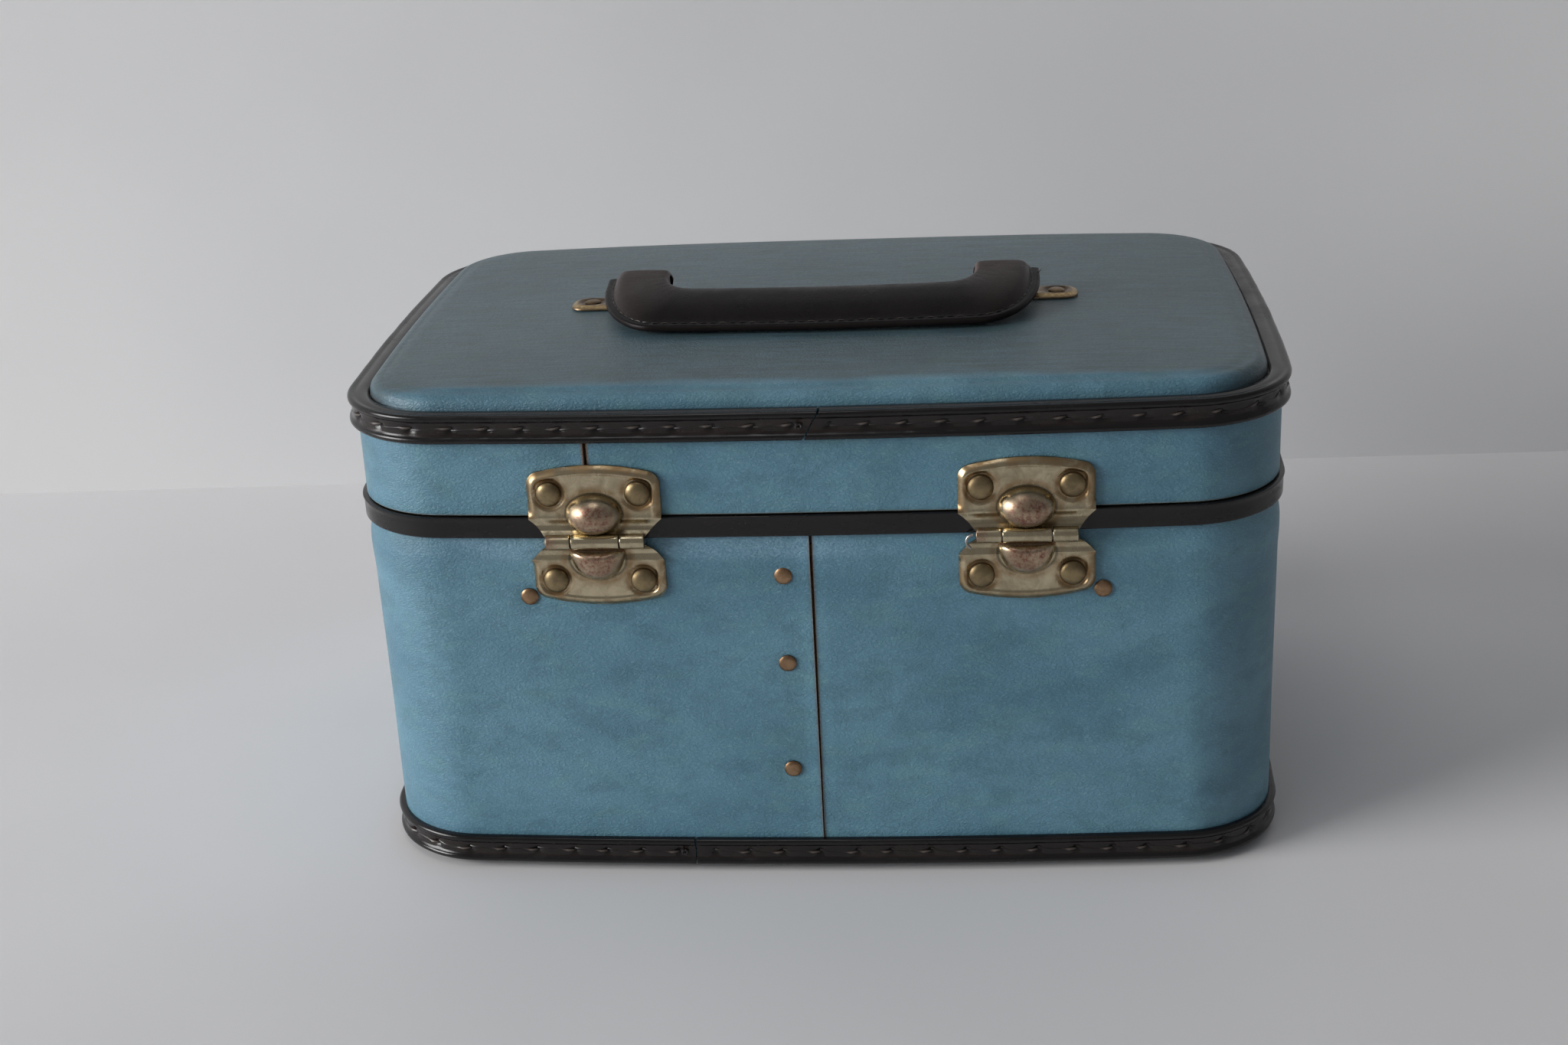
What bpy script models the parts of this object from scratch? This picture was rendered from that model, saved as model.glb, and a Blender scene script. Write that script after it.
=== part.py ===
"""Vanity case, a small hard case with a lift-up lid, hinges towards -Y and latches towards +Y.

Metres, +Z up. The origin is on the floor, under the middle of the case.
Run with: blender --background --python part.py
"""
import math

import bmesh
import bpy
from mathutils import Matrix, Vector

# Case plan, measured on the outer face of the covered board
CASE_WIDTH = 0.330
CASE_DEPTH = 0.222
CORNER_RADIUS = 0.0365
LONG_SIDE_BOW = 0.0035
SHORT_SIDE_BOW = 0.0015

# Running clearance between two pieces that touch or pass through each other
FIT = 0.0003

# Heights of the case
BASE_DROP = 0.0027          # the base field stands below its binding
BODY_HEIGHT = 0.139         # floor to the parting line
LID_HEIGHT = 0.0378         # parting line to the top of the lid's binding
LID_FIELD_RISE = 0.0044     # the lid field stands above its binding
LID_CROWN = 0.0024

# Boards and linings
BOARD = 0.003
LINING = 0.001
FLOOR_CARD = 0.0012
PANEL_ROLL = 0.0055         # width of a panel's rolled edge
ROLL_CURVE_SHARES = ((0.08, 0.55), (0.40, 0.90))  # of the roll's width and of its rise
ROLL_BACK_SHARE = 0.4
CROWN_RING_SHARES = (0.88, 0.68, 0.42, 0.16)
BACKING = 0.001
BACKING_WIDTH = 0.020
LINING_STANDOFF = 0.0028    # room behind the lining for rivet tails

# Sewn bindings
BINDING_HEIGHT = 0.0104
BINDING_PROUD = 0.0028
BINDING_GROOVE = 0.0010
BINDING_BEAD = 0.0026
BINDING_LIP = 0.005
BINDING_LIP_THICKNESS = 0.0018
BINDING_ROUND = 0.0006
JOINT_GAP = 0.0005
TOP_JOINT_X = 0.002
BOTTOM_JOINT_X = -0.047
TOP_JOINT_LEAN = math.radians(28)

# Rim trim: a strip over the body's edge with a tongue that guides the lid
TRIM_DROP = 0.0077
TRIM_PROUD = 0.0012
TRIM_WEB = 0.001
TONGUE_GAP = 0.0008
TONGUE_THICKNESS = 0.0016
TONGUE_RISE = 0.005
TONGUE_SKIRT = 0.012

# Seams of the two bands
BODY_SEAM_X = 0.0
BODY_SEAM_GAP = 0.0010
LID_SEAM_X = -0.076
LID_SEAM_GAP = 0.0010
SEAM_RIVET_X = -0.010
SEAM_RIVET_SHARES = (0.8782, 0.6071, 0.2679)  # of the wall's height between its foot and the trim

# Small rivets and the elastic band that they hold inside
ELASTIC_RIVET_X = 0.100
ELASTIC_DROP = 0.030        # middle of the band below the parting line
ELASTIC_WIDTH = 0.018
ELASTIC_THICKNESS = 0.0015
ELASTIC_END = 0.006

# Rivets
RIVET_SHANK = 0.0014
RIVET_HOLE = 0.0019
RIVET_TAIL = 0.0024
RIVET_TAIL_HEIGHT = 0.0008
SMALL_HEAD = 0.0031
SMALL_HEAD_HEIGHT = 0.0009
HINGE_HEAD = 0.0045
HINGE_HEAD_HEIGHT = 0.0015

# Hinges
HINGE_X = 0.074
HINGE_DROP = 0.0075         # hinge axis below the parting line
HINGE_WIDTH = 0.0465
LEAF_LENGTH_LID = 0.0268
LEAF_LENGTH_BODY = 0.0250
LEAF_CREASE = 0.0076
LEAF_CROWN = 0.0022
LEAF_CORNER = 0.0050
LEAF_BORDER = 0.0024
LEAF_FIELD = 0.0026         # front of the raised field above the wall
LEAF_SHEET = 0.0010
LEAF_TOP_SHARES = (0.55, 0.0)
LEAF_ROUND_SHARE = 1.2      # of the border, where it runs round a corner
BARREL_RADIUS = 0.00265
BARREL_LENGTH = 0.0345
FOOT_RISE_SHARE = 0.55      # where a leaf runs into its knuckles, as shares of their radius
FOOT_DEPTH_SHARE = 0.45
KNUCKLE_SPLIT = 0.0170
PIN_RADIUS = 0.0011
PIN_FIT = 0.0003
PIN_TAIL_RADIUS = 0.0024
PIN_TAIL_WIRE = 0.0005
HINGE_RIVET_X = 0.0155
HINGE_RIVET_LID = 0.0167
HINGE_RIVET_BODY = 0.0154
DOME_HALF_WIDTH = 0.0100
DOME_HALF_HEIGHT = 0.0073
DOME_CENTRE = 0.0095
DOME_RISE = 0.0078
STOP_TOP = 0.0032
STOP_HEIGHT = 0.0125
STOP_RISE = 0.0052
DOME_ROOT_SHARE = 0.6       # of the sheet, how deep a dome's tool starts in it

# Handle and its two brackets
HANDLE_X = 0.0682           # middle of each leg
HANDLE_Y = -0.0005
HANDLE_TILT = math.radians(7.0)
LEG_WIDTH = 0.0215
SLEEVE_RADIUS = 0.0057
SLEEVE_DROP = 0.0050        # a leg's half height below its pivot
GRIP_INNER = 0.0135
GRIP_OUTER = 0.0400
GRIP_BOW = 0.0015
GRIP_TOP = 0.0055
GRIP_BOTTOM = 0.0043
INNER_CORNER = 0.0100
OUTER_CORNER = 0.0340
FLANGE_WIDTH = 0.0030
CORE_WIDTH = 0.0044
CORE_THICKNESS = 0.0016
CORE_PLACE_SHARE = 0.45     # of the way across the handle from its inner edge
SLEEVE_ANGLES = (86, 60, 30, 0)
GRIP_HALF_SHARES = (0.5, 0.0)
BRACKET_THICKNESS = 0.0015
BRACKET_WIDTH = 0.0150
BRACKET_NECK = 0.0060
BRACKET_REACH = 0.0285      # middle of the leg to the end of a foot
BRACKET_LOOP = 0.0165       # length of the raised loop
BRACKET_RIVET = 0.0205
HANDLE_BORE = 0.0034
HANDLE_STOP = math.radians(14)  # the slots let it turn this far past upright

# Mirror under the lid
MIRROR_WIDTH = 0.200
MIRROR_DEPTH = 0.140
MIRROR_THICKNESS = 0.0025
MIRROR_CORNER = 0.012
FRAME_WIDTH = 0.005
FRAME_LIP = 0.0015
FRAME_LIP_THICKNESS = 0.0008

# Slide latches on the front
LATCH_X = 0.074
LATCH_PLATE_WIDTH = 0.046
LATCH_PLATE_HEIGHT = 0.026
LATCH_SHEET = 0.0012
LATCH_RIVET_X = 0.0185
LATCH_RIVET_DROP = 0.0060   # rivets above the plate's lower edge
KEEPER_WIDTH = 0.030
KEEPER_HEIGHT = 0.020
KEEPER_GAP = 0.0030         # keeper plate above the parting line
KEEPER_RIVET_X = 0.0105
HOOK_WIDTH = 0.010
HOOK_SHEET = 0.0015
HOOK_STANDOFF = 0.0019
HOOK_DROP = 0.017           # below the parting line
NOTCH_DEPTH = 0.0038
BOLT_HEIGHT = 0.0036
BOLT_THICKNESS = 0.0009
BOLT_LENGTH = 0.0110
BOLT_RISE = 0.0030          # bolt's lower edge above the hook's end
BOLT_TRAVEL = 0.0040
HOUSING_LENGTH = 0.0160
HOUSING_WALL = 0.0010
STEM_LENGTH = 0.0030
STEM_HEIGHT = 0.0020
BUTTON_LENGTH = 0.0070
BUTTON_HEIGHT = 0.0075
BUTTON_THICKNESS = 0.0022
BUTTON_CORNER = 0.0018
PLATE_CORNER = 0.003

# Words for the two sides, towards -X and then +X
SIDE_NAMES = ("left", "right")

# Overrun of a cutter past the faces that it cuts
OVERRUN = 0.004

# Facets, and the angle up to which faces are shaded as one
CORNER_STEPS = 6
LONG_STEPS = 6
SHORT_STEPS = 3
ROUND_STEPS = 12
HOLE_STEPS = 8
SMOOTH_ANGLE = math.radians(32)

# Heights worked out from the sizes above
PARTING = BODY_HEIGHT
LID_TOP = BODY_HEIGHT + LID_HEIGHT
LID_FIELD = LID_TOP + LID_FIELD_RISE
TOP_FLANGE = LID_TOP - BINDING_LIP_THICKNESS - FIT
LID_BAND_TOP = TOP_FLANGE - BOARD - FIT
BASE_FLANGE = BASE_DROP + BINDING_LIP_THICKNESS + FIT
BODY_BAND_FOOT = BASE_FLANGE + BOARD + FIT
BODY_BAND_TOP = PARTING - TRIM_WEB - FIT
LID_BAND_FOOT = PARTING + FIT
HINGE_AXIS_Z = PARTING - HINGE_DROP
ELASTIC_Z = PARTING - ELASTIC_DROP
INNER_FACE = BOARD + LINING_STANDOFF + LINING
LID_LINING_FOOT = PARTING + TONGUE_RISE + FIT + FIT

COLOURS = {
    "cloth": (0.105, 0.222, 0.318, 0.62, 0.0),
    "trim": (0.022, 0.018, 0.017, 0.38, 0.0),
    "board": (0.230, 0.140, 0.075, 0.85, 0.0),
    "nickel": (0.420, 0.370, 0.250, 0.34, 1.0),
    "brass": (0.330, 0.245, 0.130, 0.36, 1.0),
    "copper": (0.400, 0.210, 0.110, 0.38, 1.0),
    "bronze": (0.290, 0.190, 0.120, 0.40, 1.0),
    "steel": (0.450, 0.440, 0.420, 0.35, 1.0),
    "leather": (0.020, 0.017, 0.017, 0.45, 0.0),
    "lining": (0.420, 0.470, 0.520, 0.75, 0.0),
    "elastic": (0.300, 0.350, 0.400, 0.80, 0.0),
    "mirror": (0.850, 0.860, 0.870, 0.04, 1.0),
}

PARTS = bpy.data.collections.new("vanity_case")
CUTTERS = bpy.data.collections.new("vanity_case_cutters")


def clear_scene():
    """Remove what the start-up file holds and link this model's collections."""
    for item in list(bpy.data.objects):
        bpy.data.objects.remove(item, do_unlink=True)
    bpy.context.scene.collection.children.link(PARTS)
    bpy.context.scene.collection.children.link(CUTTERS)


def make_material(name, key):
    """A Principled material for one node."""
    red, green, blue, rough, metal = COLOURS[key]
    material = bpy.data.materials.new(name)
    material.use_nodes = True
    shader = material.node_tree.nodes["Principled BSDF"]
    shader.inputs["Base Color"].default_value = (red, green, blue, 1.0)
    shader.inputs["Roughness"].default_value = rough
    shader.inputs["Metallic"].default_value = metal
    material.diffuse_color = (red, green, blue, 1.0)
    return material


def add_object(name, mesh, colour=None):
    """Link a mesh as a part, or as a hidden cutter where no colour is given."""
    item = bpy.data.objects.new(name, mesh)
    if colour is None:
        CUTTERS.objects.link(item)
        item.display_type = "WIRE"
        item.hide_render = True
    else:
        PARTS.objects.link(item)
        mesh.materials.clear()
        mesh.materials.append(make_material(name, colour))
        mesh.shade_smooth()
        mesh.set_sharp_from_angle(angle=SMOOTH_ANGLE)
    return item


def object_from_bmesh(name, bm, colour=None):
    """Write a bmesh to a new object, with its faces pointing out."""
    bmesh.ops.recalc_face_normals(bm, faces=bm.faces)
    mesh = bpy.data.meshes.new(name)
    bm.to_mesh(mesh)
    bm.free()
    return add_object(name, mesh, colour)


def boolean(item, tool, operation, solver="EXACT"):
    """Add a boolean with another object."""
    step = item.modifiers.new(operation.lower(), "BOOLEAN")
    step.operation = operation
    step.object = tool
    step.solver = solver
    return step


def mesh_of(item):
    """The evaluated mesh of an object, welded, with the object removed."""
    bpy.context.view_layer.update()
    evaluated = item.evaluated_get(bpy.context.evaluated_depsgraph_get())
    mesh = bpy.data.meshes.new_from_object(evaluated)
    mesh.transform(item.matrix_world)
    bm = bmesh.new()
    bm.from_mesh(mesh)
    bmesh.ops.remove_doubles(bm, verts=bm.verts, dist=FIT / 100)
    bmesh.ops.recalc_face_normals(bm, faces=bm.faces)
    bm.to_mesh(mesh)
    bm.free()
    bpy.data.objects.remove(item, do_unlink=True)
    return mesh


def add_box(bm, low, high, frame=Matrix()):
    """Add a box between two corners to a bmesh."""
    low, high = Vector(low), Vector(high)
    size = Matrix.Diagonal((high - low).to_4d())
    size[3][3] = 1.0
    bmesh.ops.create_cube(bm, size=1.0, matrix=frame @ Matrix.Translation((low + high) / 2) @ size)


def add_cylinder(bm, radius, start, end, frame, steps=HOLE_STEPS):
    """Add a cylinder along the frame's Z from start to end."""
    middle = Matrix.Translation((0.0, 0.0, (start + end) / 2))
    bmesh.ops.create_cone(bm, cap_ends=True, segments=steps, radius1=radius, radius2=radius,
                          depth=end - start, matrix=frame @ middle)


def turned_mesh(profile, steps):
    """Turn a profile of (radius, height), listed from its top down, about Z."""
    mesh = bpy.data.meshes.new("profile")
    edges = [(i, i + 1) for i in range(len(profile) - 1)]
    mesh.from_pydata([(r, 0.0, z) for r, z in profile], edges, [])
    item = bpy.data.objects.new("profile", mesh)
    CUTTERS.objects.link(item)
    screw = item.modifiers.new("turn", "SCREW")
    screw.steps = steps
    screw.render_steps = steps
    screw.use_merge_vertices = True
    screw.merge_threshold = FIT / 100
    return mesh_of(item)


def fasteners(names, mesh, frames, colour):
    """One object for each name, each with its own copy of a mesh placed by a frame."""
    items = []
    for name, frame in zip(names, frames):
        item = add_object(name, mesh.copy(), colour)
        item.matrix_world = frame
        items.append(item)
    bpy.data.meshes.remove(mesh)
    return items


def plate_mesh(points, thickness, frame=Matrix()):
    """A flat outline in XY, thickened from z = 0 upwards."""
    curve = bpy.data.curves.new("plate", "CURVE")
    curve.dimensions = "2D"
    curve.fill_mode = "BOTH"
    curve.extrude = thickness / 2
    spline = curve.splines.new("POLY")
    spline.points.add(len(points) - 1)
    for knot, (x, y) in zip(spline.points, points):
        knot.co = (x, y, 0.0, 1.0)
    spline.use_cyclic_u = True
    item = bpy.data.objects.new("plate", curve)
    CUTTERS.objects.link(item)
    item.matrix_world = frame @ Matrix.Translation((0.0, 0.0, thickness / 2))
    return mesh_of(item)


def arc(centre, radius, start, end, steps, last=True):
    """Points of an arc, by angle from +X."""
    count = steps + 1 if last else steps
    angles = [start + (end - start) * i / steps for i in range(count)]
    return [(centre[0] + radius * math.cos(a), centre[1] + radius * math.sin(a)) for a in angles]


def rounded_rectangle(width, height, radius, offset=0.0):
    """Outline of a rectangle with rounded corners, moved out by an offset."""
    points = []
    for turn, (sx, sy) in enumerate(((1, 1), (-1, 1), (-1, -1), (1, -1))):
        centre = (sx * (width / 2 - radius), sy * (height / 2 - radius))
        start = turn * math.pi / 2
        points += arc(centre, radius + offset, start, start + math.pi / 2, CORNER_STEPS)
    return points


class CasePlan:
    """The case's plan: bowed sides that run smoothly into round corners."""

    def __init__(self):
        half_x, half_y, r = CASE_WIDTH / 2, CASE_DEPTH / 2, CORNER_RADIUS
        a = 2 * math.atan(LONG_SIDE_BOW / (half_x - r))
        b = 2 * math.atan(SHORT_SIDE_BOW / (half_y - r))
        m = ((math.sin(a), 1 - math.cos(b)), (1 - math.cos(a), math.sin(b)))
        right = (half_x + r * (math.sin(a) - math.cos(b)), half_y + r * (math.sin(b) - math.cos(a)))
        det = m[0][0] * m[1][1] - m[0][1] * m[1][0]
        self.long_radius = (right[0] * m[1][1] - right[1] * m[0][1]) / det
        self.short_radius = (m[0][0] * right[1] - m[1][0] * right[0]) / det
        self.long_centre = self.long_radius - half_y
        self.short_centre = half_x - self.short_radius
        self.corner = ((self.long_radius - r) * math.sin(a),
                       self.long_centre - (self.long_radius - r) * math.cos(a))
        self.long_angle, self.short_angle = a, b

    def loop(self, offset, z):
        """The plan's outline at a height, moved out by an offset."""
        q = math.pi / 2
        a, b = self.long_angle, self.short_angle
        cx, cy = self.corner
        pieces = (
            ((0.0, self.long_centre), self.long_radius, -q - a, -q + a, LONG_STEPS),
            ((cx, cy), CORNER_RADIUS, -q + a, -b, CORNER_STEPS),
            ((self.short_centre, 0.0), self.short_radius, -b, b, SHORT_STEPS),
            ((cx, -cy), CORNER_RADIUS, b, q - a, CORNER_STEPS),
            ((0.0, -self.long_centre), self.long_radius, q - a, q + a, LONG_STEPS),
            ((-cx, -cy), CORNER_RADIUS, q + a, 2 * q - b, CORNER_STEPS),
            ((-self.short_centre, 0.0), self.short_radius, 2 * q - b, 2 * q + b, SHORT_STEPS),
            ((-cx, cy), CORNER_RADIUS, 2 * q + b, 3 * q - a, CORNER_STEPS),
        )
        points = []
        for centre, radius, start, end, steps in pieces:
            points += arc(centre, radius + offset, start, end, steps, last=False)
        return [Vector((x, y, z)) for x, y in points]

    def wall(self, x, offset=0.0):
        """Distance of the hinge-side wall from the middle plane at x."""
        radius = self.long_radius + offset
        return math.sqrt(radius * radius - x * x) - self.long_centre

    def slope(self, x):
        """How fast that distance shrinks with x."""
        return x / math.sqrt(self.long_radius ** 2 - x * x)


PLAN = CasePlan()


def loft(name, loops, closed, colour=None):
    """Bridge loops of equal count, joined end to end or capped."""
    bm = bmesh.new()
    rows = [[bm.verts.new(point) for point in loop] for loop in loops]
    count = len(rows[0])
    pairs = list(zip(rows, rows[1:]))
    if closed:
        pairs.append((rows[-1], rows[0]))
    for lower, upper in pairs:
        for i in range(count):
            j = (i + 1) % count
            bm.faces.new((lower[i], lower[j], upper[j], upper[i]))
    if not closed:
        bm.faces.new(rows[0])
        bm.faces.new(rows[-1])
    return object_from_bmesh(name, bm, colour)


def ring(name, section, colour):
    """A section of (offset, z) points swept round the case's plan."""
    return loft(name, [PLAN.loop(offset, z) for offset, z in section], True, colour)


def wall_frame(x, z, front, out=0.0):
    """Frame on the wall at x: Z points out, X along the wall, Y up on the front wall."""
    side = 1 if front else -1
    y = side * (PLAN.wall(abs(x)) + out)
    turn = Matrix.Rotation(side * -math.pi / 2, 4, "X")
    return Matrix.Translation((x, y, z)) @ turn


def rivet_mesh(head, head_height, grip, steps=HOLE_STEPS):
    """A domed rivet along Z, its head seated at z = 0, its tail closed at -grip."""
    profile = (
        (0.0, head_height),
        (head * math.sin(math.radians(45)), head_height * math.sin(math.radians(50))),
        (head, 0.0),
        (RIVET_SHANK, 0.0),
        (RIVET_SHANK, -grip),
        (RIVET_TAIL, -grip),
        (RIVET_TAIL, -grip - RIVET_TAIL_HEIGHT),
        (0.0, -grip - RIVET_TAIL_HEIGHT),
    )
    return turned_mesh(profile, steps)


def drill(item, frames, depth, name, solver="EXACT"):
    """Cut rivet holes along each frame's Z, from the overrun outside to a depth."""
    bm = bmesh.new()
    for frame in frames:
        add_cylinder(bm, RIVET_HOLE, -depth, OVERRUN, frame)
    boolean(item, object_from_bmesh(name, bm), "DIFFERENCE", solver)


def parent_to(items, holder):
    """Hang objects on an empty and leave them where they are."""
    bpy.context.view_layer.update()
    for item in items:
        item.parent = holder
        item.matrix_parent_inverse = holder.matrix_world.inverted()


def add_empty(name, place):
    """An empty on a joint's axis."""
    item = bpy.data.objects.new(name, None)
    PARTS.objects.link(item)
    item.location = place
    item.empty_display_size = BARREL_LENGTH
    return item


def pair_names(pattern):
    """Names of the two fasteners of the left piece and then of the right one."""
    return [pattern % side + "_" + end for side in SIDE_NAMES for end in ("a", "b")]


def seam_rivet_frames():
    """Frames of the rivets along the body seam."""
    tall = PARTING - TRIM_DROP - BODY_BAND_FOOT
    heights = [BODY_BAND_FOOT + tall * share for share in SEAM_RIVET_SHARES]
    return [wall_frame(SEAM_RIVET_X, z, False, FIT) for z in heights]


def elastic_rivet_frames():
    """Frames of the two small rivets beside the hinges."""
    return [wall_frame(s * ELASTIC_RIVET_X, ELASTIC_Z, False, FIT) for s in (-1, 1)]


def hinge_rivet_frames(on_lid):
    """Frames of the hinge rivets of one body, their heads on the leaves' field."""
    rise = HINGE_RIVET_LID if on_lid else -HINGE_RIVET_BODY
    frames = []
    for side in (-1, 1):
        for step in (-1, 1):
            x = side * HINGE_X + step * HINGE_RIVET_X
            y = -PLAN.wall(HINGE_X) + side * step * PLAN.slope(HINGE_X) * HINGE_RIVET_X
            place = Matrix.Translation((x, y - LEAF_FIELD - FIT, HINGE_AXIS_Z + rise))
            turn = Matrix.Rotation(side * math.atan(PLAN.slope(HINGE_X)), 4, "Z")
            frames.append(place @ turn @ Matrix.Rotation(math.pi / 2, 4, "X"))
    return frames


def latch_frame(side):
    """Frame of one latch: origin on the front wall at the parting line, Y out, X to +X."""
    turn = Matrix.Rotation(-side * math.atan(PLAN.slope(LATCH_X)), 4, "Z")
    return Matrix.Translation((side * LATCH_X, PLAN.wall(LATCH_X), PARTING)) @ turn


def latch_rivet_frames(side, on_lid):
    """Frames of one latch's rivets on the body or the lid."""
    if on_lid:
        rise, reach = KEEPER_GAP + KEEPER_HEIGHT - LATCH_RIVET_DROP, KEEPER_RIVET_X
    else:
        rise, reach = -TRIM_DROP - FIT - LATCH_PLATE_HEIGHT + LATCH_RIVET_DROP, LATCH_RIVET_X
    out = Matrix.Rotation(-math.pi / 2, 4, "X")
    seat = FIT + LATCH_SHEET + FIT
    return [latch_frame(side) @ Matrix.Translation((s * reach, seat, rise)) @ out for s in (-1, 1)]


def make_body_band():
    """The body's bent board, open at its seam, drilled for every rivet through it."""
    section = ((0.0, BODY_BAND_FOOT), (0.0, BODY_BAND_TOP), (-BOARD, BODY_BAND_TOP), (-BOARD, BODY_BAND_FOOT))
    band = ring("body_band", section, "cloth")
    bm = bmesh.new()
    top, foot = BODY_SEAM_GAP / 2, FIT / 2
    wall = PLAN.wall(BODY_SEAM_X)
    corners = []
    for z, half in ((BODY_BAND_FOOT - OVERRUN, foot), (BODY_BAND_TOP + OVERRUN, top)):
        for x, y in ((-half, -wall - OVERRUN), (half, -wall - OVERRUN),
                     (half, -wall + BOARD + OVERRUN), (-half, -wall + BOARD + OVERRUN)):
            corners.append(bm.verts.new((BODY_SEAM_X + x, y, z)))
    bmesh.ops.convex_hull(bm, input=corners)
    boolean(band, object_from_bmesh("body_seam_cutter", bm), "DIFFERENCE")
    frames = seam_rivet_frames() + elastic_rivet_frames() + hinge_rivet_frames(False)
    for side in (-1, 1):
        frames += latch_rivet_frames(side, False)
    drill(band, frames, LEAF_FIELD + BOARD + OVERRUN, "body_band_drill")
    return band


def make_lid_band():
    """The lid's bent board, open at its own seam."""
    section = ((0.0, LID_BAND_FOOT), (0.0, LID_BAND_TOP), (-BOARD, LID_BAND_TOP), (-BOARD, LID_BAND_FOOT))
    band = ring("lid_band", section, "cloth")
    bm = bmesh.new()
    wall = PLAN.wall(LID_SEAM_X)
    half = LID_SEAM_GAP / 2
    add_box(bm, (LID_SEAM_X - half, -wall - OVERRUN, LID_BAND_FOOT - OVERRUN),
            (LID_SEAM_X + half, -wall + BOARD + OVERRUN, LID_BAND_TOP + OVERRUN))
    boolean(band, object_from_bmesh("lid_seam_cutter", bm), "DIFFERENCE")
    frames = hinge_rivet_frames(True)
    for side in (-1, 1):
        frames += latch_rivet_frames(side, True)
    drill(band, frames, LEAF_FIELD + BOARD + OVERRUN, "lid_band_drill")
    return band


def backing_strip(name, x, low, high):
    """A strip behind a seam, against the inner face of the band."""
    bm = bmesh.new()
    half = BACKING_WIDTH / 2
    slope = PLAN.slope(x)
    face = -PLAN.wall(x) + BOARD + FIT
    turn = Matrix.Translation((x, face, 0.0)) @ Matrix.Rotation(math.atan(slope), 4, "Z")
    add_box(bm, (-half, 0.0, low), (half, BACKING, high), turn)
    return object_from_bmesh(name, bm, "board")


def make_panel(name, colour, flange, field, inner_field, up):
    """A pressed board: a flange under the binding's lip and a field that stands out of it."""
    rise = 1 if up else -1
    lip = BINDING_LIP + FIT
    roll = PANEL_ROLL
    outer = [(0.0, flange), (-lip, flange)]
    outer += [(-lip - roll * along, flange + (field - flange) * up_share)
              for along, up_share in ROLL_CURVE_SHARES]
    outer.append((-lip - roll, field))
    back = flange - rise * BOARD
    inner = (
        (0.0, back),
        (-lip - BOARD, back),
        (-lip - BOARD - roll * ROLL_BACK_SHARE, inner_field - rise * FIT),
        (-lip - BOARD - roll, inner_field),
    )
    loops = [PLAN.loop(offset, z) for offset, z in reversed(inner)]
    loops += [PLAN.loop(offset, z) for offset, z in outer]
    if up:
        edge = loops[-1]
        for share in CROWN_RING_SHARES:
            loops.append([crowned(point, share) for point in edge])
    return loft(name, loops, False, colour)


def crowned(point, share):
    """A point of the lid's field, drawn in towards the middle and lifted by the crown."""
    x, y = point.x * share, point.y * share
    return Vector((x, y, LID_FIELD + crown_rise(x, y)))


def crown_rise(x, y):
    """Rise of the lid's field above its edge."""
    return LID_CROWN * (1 - (2 * x / CASE_WIDTH) ** 4) * (1 - (2 * y / CASE_DEPTH) ** 4)


def binding_section(edge, up):
    """Section of a binding: two beads with a groove between, and a lip over the panel."""
    rise = 1 if up else -1
    low = edge - rise * BINDING_HEIGHT
    groove = BINDING_PROUD - BINDING_GROOVE
    corner = BINDING_ROUND
    return (
        (FIT, low),
        (BINDING_PROUD - corner, low),
        (BINDING_PROUD, low + rise * corner),
        (BINDING_PROUD, low + rise * (BINDING_BEAD - corner)),
        (groove, low + rise * BINDING_BEAD),
        (groove, edge - rise * BINDING_BEAD),
        (BINDING_PROUD, edge - rise * (BINDING_BEAD - corner)),
        (BINDING_PROUD, edge - rise * corner),
        (BINDING_PROUD - corner, edge),
        (-BINDING_LIP, edge),
        (-BINDING_LIP, edge - rise * BINDING_LIP_THICKNESS),
        (FIT, edge - rise * BINDING_LIP_THICKNESS),
    )


def make_binding(name, edge, up, joint_x, lean):
    """A binding whose ends meet at a butt joint on the hinge side."""
    item = ring(name, binding_section(edge, up), "trim")
    middle = edge - (1 if up else -1) * BINDING_HEIGHT / 2
    frame = Matrix.Translation((joint_x, -PLAN.wall(joint_x), middle)) @ Matrix.Rotation(lean, 4, "Y")
    bm = bmesh.new()
    reach = BINDING_LIP + OVERRUN
    add_box(bm, (-JOINT_GAP / 2, -BINDING_PROUD - OVERRUN, -BINDING_HEIGHT - OVERRUN),
            (JOINT_GAP / 2, reach, BINDING_HEIGHT + OVERRUN), frame)
    boolean(item, object_from_bmesh(name + "_joint_cutter", bm), "DIFFERENCE")
    return item


def make_rim_trim():
    """The strip over the body's rim and the tongue that stands up inside the lid."""
    face = BOARD + TONGUE_GAP
    back = face + TONGUE_THICKNESS
    foot = PARTING - TRIM_DROP
    section = (
        (TRIM_PROUD, foot),
        (TRIM_PROUD, PARTING),
        (-face, PARTING),
        (-face, PARTING + TONGUE_RISE),
        (-back, PARTING + TONGUE_RISE),
        (-back, PARTING - TONGUE_SKIRT),
        (-face, PARTING - TONGUE_SKIRT),
        (-face, PARTING - TRIM_WEB),
        (FIT, PARTING - TRIM_WEB),
        (FIT, foot),
    )
    return ring("rim_trim", section, "trim")


def make_lining(name, low, high):
    """A thin lining ring that stands off the band."""
    outer = BOARD + LINING_STANDOFF
    section = ((-outer, low), (-outer, high), (-outer - LINING, high), (-outer - LINING, low))
    return ring(name, section, "lining")


def make_card(name, low, high):
    """A lining card that fills the case inside its lining ring."""
    offset = -INNER_FACE - FIT
    return loft(name, [PLAN.loop(offset, low), PLAN.loop(offset, high)], False, "lining")


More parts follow.
